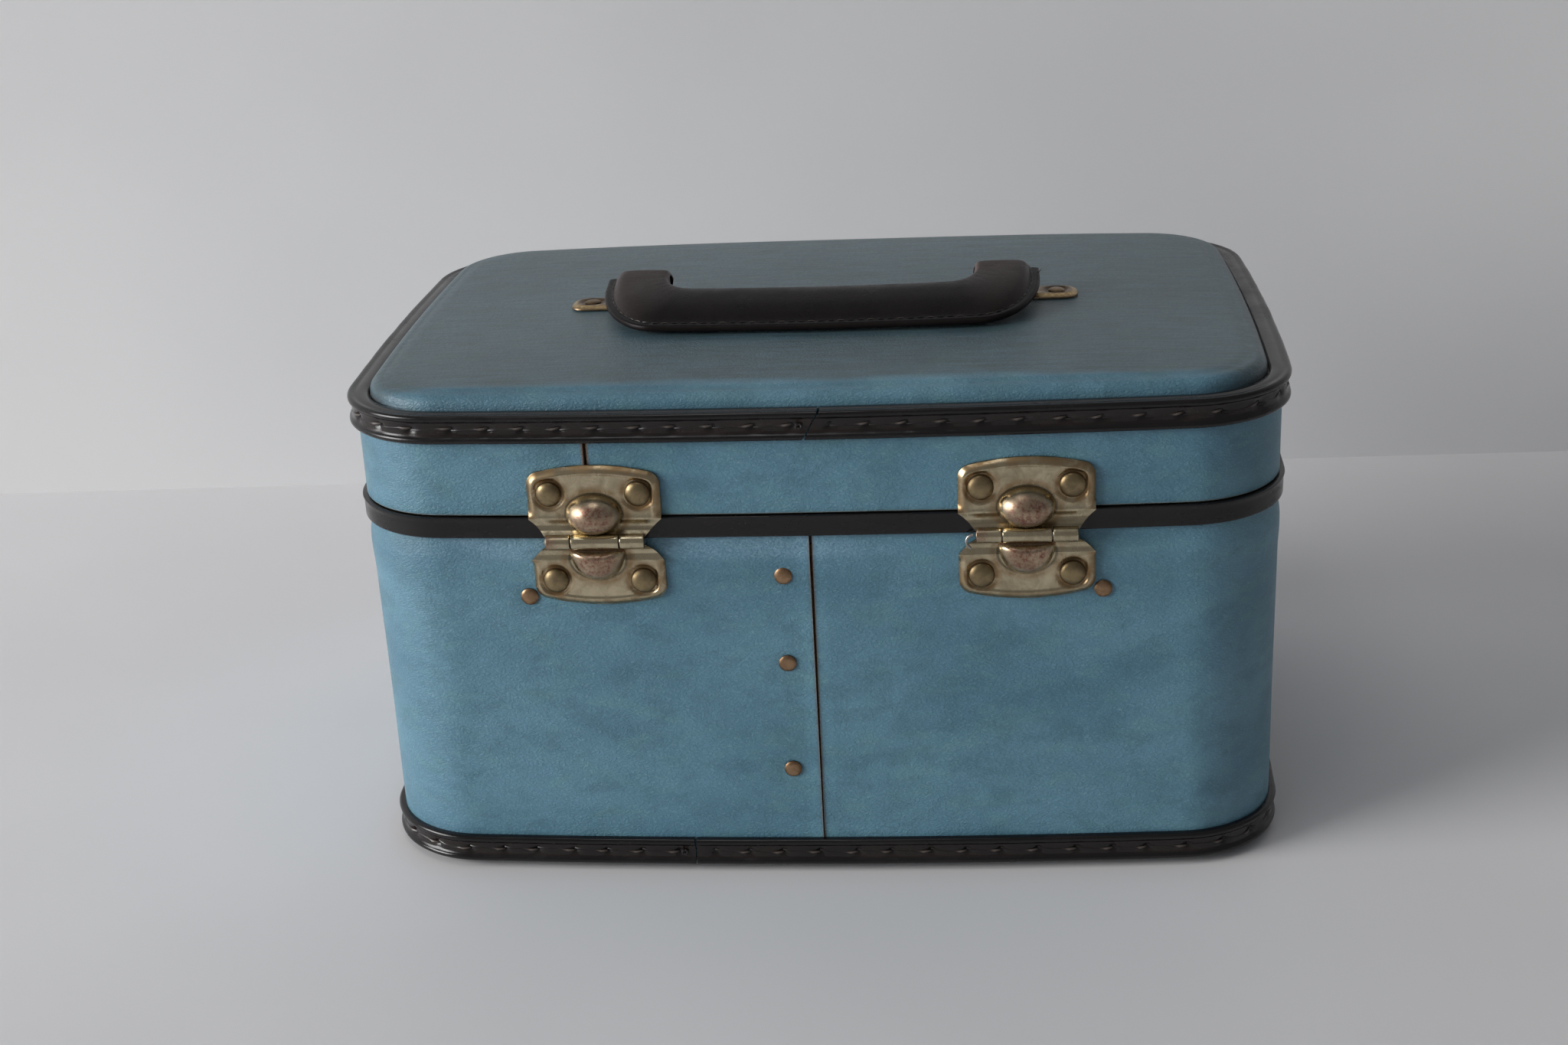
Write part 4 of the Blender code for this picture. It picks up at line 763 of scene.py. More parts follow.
@dataclass(frozen=True)
class TarnishedMetal:
    """Pressed sheet or wire, plated and then tarnished by hands and damp.

    It gives a satin metal with brown stains in its corners, darker clouds, fine pits, bare rubbed crowns and
    painted shade at the feet of its domes, barrels and rivet heads.
    """

    name: str
    bright: str
    cloud: str
    stain: str
    worn: str
    rust: str = "#8c4a24"
    speck: str = "#3a2c20"
    shadow: str = "#1d1814"
    rough: float = 0.34
    patch: float = 6 * MM
    pit: float = 0.55 * MM
    dent: float = 3 * MM

    def build(self) -> Material:
        """Lay the material's nodes.

        Returns:
            The material.
        """
        f = Finish(self.name)
        stain, worn, rust, dark = f.masks("stain", "worn", "rust", "dark")
        clouds = f.clouds(self.patch, 4.0, 0.6, warp=0.5)
        pits = f.clouds(self.pit, 3.0, 0.65)
        stained = f.add(Kind.TIMES, stain, f.add(Kind.SPAN, clouds, 0.30, 0.62, 0.45, 1.0), use_clamp=True)
        spotted = f.add(Kind.SPAN, f.clouds(self.dent / 2, 5.0, 0.75), 0.40, 0.68, 0.35, 1.0)
        colour = f.layered(
            self.bright,
            (f.add(Kind.SPAN, clouds, 0.25, 0.85), self.cloud),
            (stained, self.stain),
            (f.add(Kind.TIMES, worn, spotted, use_clamp=True), self.worn),
            (f.add(Kind.TIMES, rust, f.add(Kind.SPAN, pits, 0.35, 0.6, 0.4, 1.0)), self.rust),
            (f.add(Kind.SPAN, pits, 0.68, 0.80, 0.0, 0.5), self.speck),
            (dark, self.shadow))
        rough = f.add(Kind.PLUS, f.add(Kind.SPAN, clouds, 0.3, 0.75, self.rough - 0.06, self.rough + 0.12),
                      f.add(Kind.TIMES, f.add(Kind.PLUS, stained, worn), 0.10))
        metal = f.add(Kind.LESS, 1.0, f.add(Kind.TIMES, rust, 0.6), use_clamp=True)
        normal = f.add(Kind.RELIEF, pits, 0.02 * MM, 0.5)
        normal = f.add(Kind.RELIEF, f.clouds(self.dent, 2.0), 0.06 * MM, 0.35, normal)
        return f.finished(colour, rough, normal, Metallic=metal)


@dataclass(frozen=True)
class WaxedThread:
    """Cotton thread, twisted and waxed.

    It gives a dull dark line, with a painted glint on its raised loops.
    """

    name: str = "cotton_thread_waxed"
    dark: str = "#161110"
    light: str = "#2b2220"
    glint: str = "#786e67"
    fibre: float = 0.6 * MM

    def build(self) -> Material:
        """Lay the material's nodes.

        Returns:
            The material.
        """
        f = Finish(self.name)
        fibre = f.clouds(self.fibre, 3.0, 0.6)
        colour = f.layered(self.dark, (f.add(Kind.SPAN, fibre, 0.35, 0.7, 0.0, 0.5), self.light),
                           (f.masks("glint")[0], self.glint))
        return f.finished(colour, 0.34, f.add(Kind.RELIEF, fibre, 0.06 * MM, 0.6))


@dataclass(frozen=True)
class PressedBoard:
    """Brown fibreboard, pressed and cut.

    It gives a dry brown face with short fibres.
    """

    name: str = "fibreboard_pressed"
    dark: str = "#6d4d33"
    light: str = "#94714d"
    fibre: float = 0.9 * MM

    def build(self) -> Material:
        """Lay the material's nodes.

        Returns:
            The material.
        """
        f = Finish(self.name)
        fibres = f.clouds(self.fibre, 4.0, 0.65, (5.0, 5.0, 1.0))
        colour = f.layered(self.dark, (f.add(Kind.SPAN, fibres, 0.3, 0.7), self.light))
        return f.finished(colour, 0.85, f.add(Kind.RELIEF, fibres, 0.08 * MM, 0.6))


@dataclass(frozen=True)
class WovenLining:
    """Rayon taffeta, woven and glued to card.

    It gives a soft pale blue with a fine weave, its threads drawn 0.9 mm wide, coarser than real, to show.
    """

    name: str = "rayon_taffeta_woven"
    pale: str = "#a9b6c2"
    shade: str = "#8494a4"
    dust: str = "#8b8f86"
    thread: float = 0.9 * MM
    clouds: float = 30 * MM

    def build(self) -> Material:
        """Lay the material's nodes.

        Returns:
            The material.
        """
        f = Finish(self.name)
        threads = [f.clouds(self.thread, 1.0, 0.4, stretch)
                   for stretch in ((14, 14, 1), (1, 14, 14), (14, 1, 14))]
        crossed = f.add(Kind.PLUS, f.add(Kind.PLUS, threads[0], threads[1]), threads[2])
        weave = f.add(Kind.TIMES, crossed, 0.34)
        cloud = f.clouds(self.clouds, 3.0, 0.5)
        colour = f.layered(self.shade, (f.add(Kind.SPAN, weave, 0.42, 0.60), self.pale),
                           (f.add(Kind.SPAN, cloud, 0.5, 0.8, 0.0, 0.35), self.dust))
        normal = f.add(Kind.RELIEF, weave, 0.10 * MM, 0.6)
        return f.finished(colour, 0.62, normal, Sheen_Weight=0.25, Sheen_Roughness=0.4)


@dataclass(frozen=True)
class RibbedElastic:
    """Rubber thread woven into cotton, gathered into ribs.

    It gives a matt grey-blue band with upright ribs.
    """

    name: str = "cotton_elastic_woven"
    dark: str = "#5d6c7a"
    light: str = "#93a2b0"
    rib: float = 0.8 * MM

    def build(self) -> Material:
        """Lay the material's nodes.

        Returns:
            The material.
        """
        f = Finish(self.name)
        ribs = f.clouds(self.rib, 2.0, 0.5, (1.0, 1.0, 16.0))
        colour = f.layered(self.dark, (f.add(Kind.SPAN, ribs, 0.35, 0.65), self.light))
        return f.finished(colour, 0.8, f.add(Kind.RELIEF, ribs, 0.15 * MM, 0.7), Sheen_Weight=0.2)


@dataclass(frozen=True)
class SilveredGlass:
    """Float glass, silvered on its back.

    It gives a clear reflection with a faint grey haze of dust.
    """

    name: str = "float_glass_silvered"
    clear: str = "#dfe4e6"
    dust: str = "#c2c9cc"

    def build(self) -> Material:
        """Lay the material's nodes.

        Returns:
            The material.
        """
        f = Finish(self.name)
        haze = f.clouds(24 * MM, 5.0, 0.6)
        colour = f.layered(self.clear, (f.add(Kind.SPAN, haze, 0.45, 0.8), self.dust))
        return f.finished(colour, f.add(Kind.SPAN, haze, 0.4, 0.8, 0.03, 0.12), Metallic=1.0)


@dataclass(frozen=True)
class PaintedBoard:
    """Board with matt emulsion, rolled, for the floor and the wall behind.

    It gives a plain pale ground with a faint cloud.
    """

    name: str
    pale: str
    shade: str
    one_sided: bool = False

    def build(self) -> Material:
        """Lay the material's nodes, clear from behind where the board is one-sided.

        Returns:
            The material.
        """
        f = Finish(self.name)
        colour = f.layered(self.pale, (f.add(Kind.SPAN, f.clouds(0.35, 3.0, 0.5), 0.3, 0.75), self.shade))
        material = f.finished(colour, 0.75)
        if self.one_sided:
            back = add_node(f.tree, "ShaderNodeNewGeometry").outputs["Backfacing"]
            clear = add_node(f.tree, "ShaderNodeBsdfTransparent").outputs[0]
            mixed = add_node(f.tree, "ShaderNodeMixShader", {0: back, 1: f.shader.outputs[0], 2: clear})
            f.tree.links.new(mixed.outputs[0], f.tree.nodes["Material Output"].inputs["Surface"])
        return material


@dataclass
class Palette:
    """The case's finishes, each made once."""

    cloth: Material = field(default_factory=GrainedLeathercloth().build)
    binding: Material = field(default_factory=ExtrudedBinding().build)
    leather: Material = field(default_factory=SewnLeather().build)
    thread: Material = field(default_factory=WaxedThread().build)
    board: Material = field(default_factory=PressedBoard().build)
    lining: Material = field(default_factory=WovenLining().build)
    elastic: Material = field(default_factory=RibbedElastic().build)
    glass: Material = field(default_factory=SilveredGlass().build)
    hinge: Material = field(default_factory=TarnishedMetal(
        "steel_sheet_nickel_plated_aged", "#cdc0a2", "#9c8f76", "#8a6b45", "#86564c", rough=0.24).build)
    brass: Material = field(default_factory=TarnishedMetal(
        "brass_rivet_tarnished", "#9c8a68", "#756751", "#5c4a33", "#8f7a5c", patch=4 * MM).build)
    copper: Material = field(default_factory=TarnishedMetal(
        "copper_rivet_tarnished", "#ab8c6e", "#82684f", "#604733", "#a9866b", rough=0.32, patch=3 * MM).build)
    # The bracket's pale worn colour is partly wear and partly a painted highlight on its bevels.
    bronze: Material = field(default_factory=TarnishedMetal(
        "brass_sheet_lacquered_worn", "#8f7a60", "#6a5845", "#4d3c2c", "#e2c692", rough=0.30).build)
    steel: Material = field(default_factory=TarnishedMetal(
        "steel_wire_drawn", "#b3b0aa", "#96928b", "#7d6a55", "#a8a39a", rough=0.30).build)


@dataclass
class Band:
    """One of the two bent walls of covered board, butted at a seam on the hinge side."""

    name: str
    host: Host
    foot: float
    top: float
    seam_x: float
    gap: float
    gap_foot: float
    thickness: float = 3.0 * MM
    edge: float = 0.7 * MM
    rise: float = 1.0 * MM
    dimples: tuple = ()
    tuck: bool = False

    def section(self) -> list[tuple[float, float]]:
        """The band's section, its outer face close-set and its edges rounded.

        Returns:
            Pairs of offset and height.
        """
        count = round((self.top - self.foot - 2 * self.edge) / self.rise)
        heights = np.linspace(self.foot + self.edge, self.top - self.edge, count + 1)
        low = arc_points((-self.edge, self.foot + self.edge), self.edge, -90, 0, 4)[:-1]
        high = arc_points((-self.edge, self.top - self.edge), self.edge, 0, 90, 4)[1:]
        back = [(-self.thickness, self.top), (-self.thickness, self.foot)]
        return low + [(0.0, z) for z in heights] + high + back

    def build(self, palette: Palette) -> Piece:
        """Make the band.

        Args:
            palette: The case's finishes.

        Returns:
            The piece.
        """
        stations = PLAN.stations(self.seam_x, self.gap)
        section = self.section()
        x = stations.at(0.0)[:, :1]
        hinge_side = (stations.at(0.0)[:, 1:] < 0) & (abs(x) < 0.13)
        run = stations.run()[:, None]
        length = run[-1, 0]

        def shape(_: Array, offset: Array, height: Array) -> tuple[Array, Array]:
            """Swells, seam lift and dimples of the outer face."""
            outer = offset > -self.edge * 1.01
            y = stations.at(0.0)[:, 1:]
            wave = 0.16 * MM * np.sin(31 * x + 19 * height) * np.sin(47 * height - 23 * y + 11 * x)
            wave = wave + 0.10 * MM * np.sin(83 * x + 57 * y) * np.sin(64 * height + 1.3)
            lift = np.zeros_like(offset) + wave
            if self.tuck:
                lift += 0.45 * MM * np.exp(-((height - self.top + 17 * MM) / (7 * MM)) ** 2)
                lift -= 0.9 * MM * smooth(height, self.top - 15 * MM, self.top - 5 * MM)
            before = np.where(hinge_side, smooth(run, length - 5 * MM, length), 0.0)
            after = np.where(hinge_side, 1 - smooth(run, 0.0, 5 * MM), 0.0)
            lift += 0.35 * MM * before - 0.25 * MM * after
            for dx, dz, reach, depth in self.dimples:
                distance = np.where(hinge_side, np.hypot(x - dx, height - dz), 1.0)
                lift -= depth * np.exp(-(distance / reach) ** 2)
            return offset + np.where(outer, lift, 0.0), height

        def shift(run: Array, _: Array, height: Array) -> Array:
            """Closes the seam towards its foot."""
            share = (self.top - height) / (self.top - self.foot)
            half = (self.gap - self.gap_foot) / 2 * share
            return -half * (1 - smooth(run, 0.0, 6 * MM)) + half * smooth(run, length - 6 * MM, length)

        skin = sweep(stations, section, shape, shift)
        heights = skin.points[:, 2]
        ends = np.repeat(np.minimum(run[:, 0], length - run[:, 0]), len(section))
        skin.masks["raw"] = (0.3 if self.tuck else 0.85) * (1 - smooth(ends, 0.15 * MM, 0.75 * MM))
        if self.tuck:
            # Painted sheen: a paler band on the body's wall below the rim strip, on the hinge side left of
            # the seam.
            across = skin.points[:, 0] + 9 * MM * np.sin(heights * 390)
            bloom = smooth(heights, self.top - 17 * MM, self.top - 12 * MM) * (skin.points[:, 1] < 0)
            bloom = bloom * smooth(across, -132 * MM, -118 * MM)
            skin.masks["bloom"] = bloom * (1 - smooth(across, -4 * MM, 30 * MM))
        else:
            skin.masks["pale"] = 0.85 * (1 - smooth(heights, self.foot + 0.2 * MM, self.foot + 0.75 * MM))
        node = self.name.replace("_cover", "")
        return put(self.name, skin, palette.cloth, self.host, [node], 60)


@dataclass
class Panel:
    """A pressed board with a rolled edge: the lid's crowned top or the base."""

    name: str
    node: str
    host: Host
    flange: float
    field_z: float
    crown: float
    lip: float = 5.3 * MM
    roll: float = 5.5 * MM
    thickness: float = 3.0 * MM

    def build(self, palette: Palette) -> Piece:
        """Make the panel, with soil on the lid's field and none on its rolled edge.

        Args:
            palette: The case's finishes.

        Returns:
            The piece.
        """
        stations = PLAN.stations(0.0, 0.0, 2 * MM, 2 * MM)
        rise = self.field_z - self.flange
        inner = self.flange - math.copysign(self.thickness, rise)
        steps = (2 * self.lip + self.roll, self.lip + self.thickness, 0.0)
        rings = [level(stations.at(-u), inner) for u in steps]
        rings += [level(stations.at(-u), self.flange) for u in (0.0, self.lip * 0.6)]
        for share in np.linspace(0.0, 1.0, 16):
            height = (1 - (1 - share) ** 2.6) ** (1 / 2.6)
            rings.append(level(stations.at(-self.lip - self.roll * share), self.flange + rise * height))
        edge = rings[-1][:, :2]
        for share in np.concatenate((np.linspace(0.985, 0.9, 6), np.linspace(0.87, 0.02, 30))):
            x, y = (edge * share).T
            crown = self.crown * (1 - (2 * x / PLAN.width) ** 4) * (1 - (2 * y / PLAN.depth) ** 4)
            wave = 0.10 * MM * np.sin(41 * x + 9 * y) * np.sin(37 * y) * (self.crown > 0)
            rings.append(level(edge * share, self.field_z + crown + wave))
        skin = Skin.loft(rings)
        if self.crown:
            x, y, z = skin.points.T
            wander = 1.6 * MM * np.sin(61 * x + 1) + 0.9 * MM * np.sin(173 * x)
            ahead = (PLAN.depth / 2 + y) / MM
            clean = 1 - smooth(ahead + wander * 0.6 / MM, 13.0, 20.0)
            clean *= 1 - 0.6 * smooth(np.abs(x), 125 * MM, 152 * MM)
            foot = 1 - smooth(z - self.flange, 0.3 * MM, 1.5 * MM)
            skin.masks["soil"] = np.maximum(0.15, 1 - clean)
            skin.masks["shade"] = 0.4 * foot
            skin.masks["raw"] = 0.4 * foot * smooth(ahead, 8.0, 30.0)
        return put(self.name, skin, palette.cloth, self.host, [self.node], 50)


@dataclass
class SewnBinding:
    """A two-beaded binding sewn round one end of the case, butted at a joint on the hinge side."""

    name: str
    node: str
    host: Host
    edge: float
    up: int
    joint_x: float
    lean: float
    height: float = 10.4 * MM
    proud: float = 2.8 * MM
    groove: float = 1.8 * MM
    bead: float = 1.3 * MM
    lip: float = 5.0 * MM
    lip_thickness: float = 1.8 * MM
    pitch: float = 13.0 * MM
    hole: float = 1.5 * MM
    thread: float = 0.40 * MM

    def section(self) -> list[tuple[float, float]]:
        """The section: a bead at each edge, a groove between and a lip over the panel.

        Returns:
            Pairs of offset and height.
        """
        r, middle, bed = self.bead, self.proud - self.bead, 2 * self.bead + 0.3 * MM
        points = arc_points((middle, self.height - r), r, 90, -60, 10)
        points += [(self.groove + 0.10 * MM, self.height - bed)]
        points += [(self.groove - 0.08 * MM * math.sin(math.pi * t),
                    self.height - bed - 0.2 * MM - t * (self.height - 2 * bed - 0.4 * MM))
                   for t in np.linspace(0, 1, 9)]
        points += [(self.groove + 0.10 * MM, bed)]
        points += arc_points((middle, r), r, 60, -90, 10)
        points += [(x * MM, depth * MM) for x, depth in (
            (0.7, 0.14), (0.1, 0.34), (-0.5, 0.22), (-1.4, 0.03), (-2.5, 0.0), (-3.5, 0.12), (-4.2, 0.36),
            (-4.7, 0.70))]
        points += [(-self.lip, 1.15 * MM), (-self.lip, self.lip_thickness), (FIT, self.lip_thickness),
                   (FIT, self.height)]
        return [(offset, self.edge - self.up * depth) for offset, depth in points]

    def build(self, palette: Palette) -> Piece:
        """Make the binding with its needle holes.

        Args:
            palette: The case's finishes.

        Returns:
            The piece.
        """
        stations = PLAN.stations(self.joint_x, 0.5 * MM, 0.9 * MM, 1.1 * MM)
        section = self.section()
        run = stations.run()
        length = run[-1]
        middle = self.edge - self.up * self.height / 2
        holes = self.holes(length)
        nearest = np.min(np.abs(run[:, None] - holes[None, :]), axis=1)[:, None]

        def shape(_: Array, offset: Array, height: Array) -> tuple[Array, Array]:
            """Needle holes, pulled-in stitches and a little waviness."""
            outer = offset > 1.0 * MM
            pit = np.exp(-(nearest / self.hole) ** 2 - ((height - middle) / (1.1 * MM)) ** 2)
            wave = 0.05 * MM * np.sin(run[:, None] * 130) + 0.03 * MM * np.sin(run[:, None] * 331 + 2)
            pull = 0.22 * MM * np.exp(-(nearest / (2.2 * MM)) ** 2 - ((height - middle) / (3.0 * MM)) ** 4)
            sunk = np.where((offset < self.groove + 0.3 * MM) & outer, 0.9 * MM * pit, 0.0)
            return offset - sunk + wave * outer - pull * outer, height

        def shift(line: Array, _: Array, height: Array) -> Array:
            """Leans the two cut ends together and opens the joint at its edges."""
            near = 1 - smooth(np.minimum(line, length - line), 0.0, 14 * MM)
            spread = 0.2 * MM * ((height - middle) / (self.height / 2)) ** 2
            return (math.tan(self.lean) * (height - middle) * near + spread * (line < 0.8 * MM)
                    - spread * (line > length - 0.8 * MM))

        skin = sweep(stations, section, shape, shift)
        offset, height = np.tile(np.array(section).T, len(run))
        near = np.repeat(nearest[:, 0], len(section))
        outside = (offset > 1.0 * MM) & (np.abs(height - middle) < self.height / 2 - 2.2 * self.bead)
        pit = np.exp(-(near / self.hole) ** 2 - ((height - middle) / (1.0 * MM)) ** 2)
        # Painted shade in the sunk needle holes.
        skin.masks["hole"] = np.where(outside, pit, 0.0)
        skin.masks["dust"] = outside * 0.6 + (offset < -self.lip + 0.3 * MM) * 0.8
        skin.masks["raw"] = (offset < -self.lip + 0.1 * MM) * 0.9
        put(self.name + "_thread", self.stitches(stations, holes), palette.thread, self.host)
        return put(self.name, skin, palette.binding, self.host, [self.node], 40)

    def holes(self, length: float) -> Array:
        """Runs of the needle holes, evenly spaced with a little wander.

        Args:
            length: Length of the binding.

        Returns:
            The runs.
        """
        rng = random.Random(round(self.edge * 1e6))
        count = int((length - 8 * MM) / self.pitch)
        return np.array([6 * MM + i * (length - 12 * MM) / count + rng.uniform(-0.8, 0.8) * MM
                         for i in range(count + 1)])

    def stitches(self, stations: Stations, holes: Array) -> Skin:
        """The threads between the needle holes, and a knot at the end of the seam.

        Args:
            stations: Where the binding's section stands.
            holes: Runs of the needle holes.

        Returns:
            The threads in one skin.
        """
        rng = random.Random(7)
        run = stations.run()
        middle = self.edge - self.up * self.height / 2

        def place(at: float, offset: float, height: float) -> Array:
            """A point by its run, offset and height."""
            flat = stations.at(offset)
            return np.array((np.interp(at, run, flat[:, 0]), np.interp(at, run, flat[:, 1]), height))

        skins = []
        for start, end in zip(holes, holes[1:]):
            drift = rng.uniform(-0.35, 0.35) * MM
            rows, glints = [], []
            for t in np.linspace(0.0, 1.0, 11):
                over = min(1.0, 6 * min(t, 1 - t)) ** 0.7
                loop = 0.62 + 0.48 * math.exp(-((t - 0.82) / 0.13) ** 2)
                rows.append(place(start + (end - start) * t, self.groove - 1.0 * MM + over * loop * MM,
                                  middle + drift * math.sin(math.pi * t) + self.up * 0.9 * MM * (t - 0.5)))
                # Painted glint near the end of each stitch.
                glints.append(0.9 * math.exp(-((t - 0.84) / 0.08) ** 2))
            skin = tube(np.array(rows), self.thread)
            skin.masks["glint"] = np.repeat(glints, 6)
            skins.append(skin)
        knot = [place(holes[-1] + 2.2 * MM + 0.9 * MM * math.cos(a),
                      self.groove + 0.35 * MM + 0.2 * MM * math.sin(2.3 * a),
                      middle + 0.8 * MM * math.sin(a) + 0.25 * MM * math.sin(3.1 * a))
                for a in np.linspace(0, 4.2 * math.pi, 30)]
        return skins[0].joined(*skins[1:], tube(np.array(knot), self.thread))


@dataclass
class RimTrim:
    """The strip over the body's rim, with the tongue that guides the lid."""

    parting: float = 139.0 * MM
    drop: float = 7.7 * MM
    proud: float = 1.2 * MM
    flare: float = 0.40 * MM

    def build(self, palette: Palette) -> Piece:
        """Make the strip, its lower edge rolled and its upper edge flared.

        Args:
            palette: The case's finishes.

        Returns:
            The piece.
        """
        foot, top = self.parting - self.drop, self.parting
        proud, flare = self.proud, self.flare
        section = [(FIT, foot)]
        section += arc_points((proud - 0.5 * MM, foot + 0.5 * MM), 0.5 * MM, -90, 0, 4)
        section += [(proud, foot + t * MM) for t in (1.2, 2.2, 3.4, 4.6, 5.6)]
        section += [(proud + flare * 0.25, top - 1.5 * MM), (proud + flare * 0.8, top - 0.8 * MM),
                    (proud + flare, top - 0.45 * MM), (proud + flare * 0.9, top - 0.15 * MM),
                    (proud + flare * 0.4, top), (0.0, top - 0.05 * MM), (-3.4 * MM, top - 0.05 * MM)]
        section += arc_points((-4.6 * MM, top + 4.2 * MM), 0.8 * MM, 0, 180, 8)
        section += [(-5.4 * MM, top - 12 * MM), (-3.8 * MM, top - 12 * MM), (-3.8 * MM, top - MM),
                    (FIT, top - MM)]
        stations = PLAN.stations(0.0, 0.0, 2 * MM, 2 * MM)
        run = stations.run()[:, None]

        def shape(_: Array, offset: Array, height: Array) -> tuple[Array, Array]:
            """Slight waves of the strip's face and upper edge."""
            face = offset > 0.8 * MM
            return offset + face * 0.06 * MM * np.sin(run * 47), height + face * 0.05 * MM * np.sin(run * 71)

        skin = sweep(stations, section, shape)
        return put("rim_strip", skin, palette.binding, Host.BODY, ["rim_trim"], 40)


@dataclass(frozen=True)
class RivetHead:
    """A domed rivet head with a slightly flattened crown and a rolled edge."""

    radius: float
    height: float
    sink: float = 0.6 * MM

    def skin(self) -> Skin:
        """The head along Z, seated at 0, its foot sunk below.

        Returns:
            The skin.
        """
        shares = np.linspace(0.0, 1.0, 12)
        profile = [(self.radius * s, self.height * (1 - s ** 2.3) ** 0.62) for s in shares[:-1]]
        profile += [(self.radius, 0.12 * self.height), (self.radius * 0.985, -self.sink)]
        skin = turned(profile)
        reach = np.hypot(skin.points[:, 0], skin.points[:, 1]) / self.radius
        skin.masks["stain"] = 0.75 * smooth(reach, 0.55, 1.0)
        skin.masks["dark"] = 0.7 * (skin.points[:, 2] < 0.02 * MM)
        return skin


@dataclass
class Rivets:
    """All the rivets of one kind on one body."""

    name: str
    host: Host
    head: RivetHead
    frames: list[Matrix]
    nodes: list[str]
    slot: str

    def build(self, finish: Material) -> Piece:
        """Set a head, slightly turned and tipped, in each frame.

        Args:
            finish: The rivets' metal.

        Returns:
            The piece.
        """
        rng = random.Random(len(self.nodes) * 31 + len(self.name))
        skins = []
        for place in self.frames:
            tip = Matrix.Rotation(math.radians(rng.uniform(-2.5, 2.5)), 4, "X")
            tip = tip @ Matrix.Rotation(math.radians(rng.uniform(-2.5, 2.5)), 4, "Y")
            skins.append(self.head.skin().placed(place @ tip @ Matrix.Rotation(rng.uniform(0, 6), 4, "Z")))
        return put(self.name, skins[0].joined(*skins[1:]), finish, self.host, self.nodes, 50)


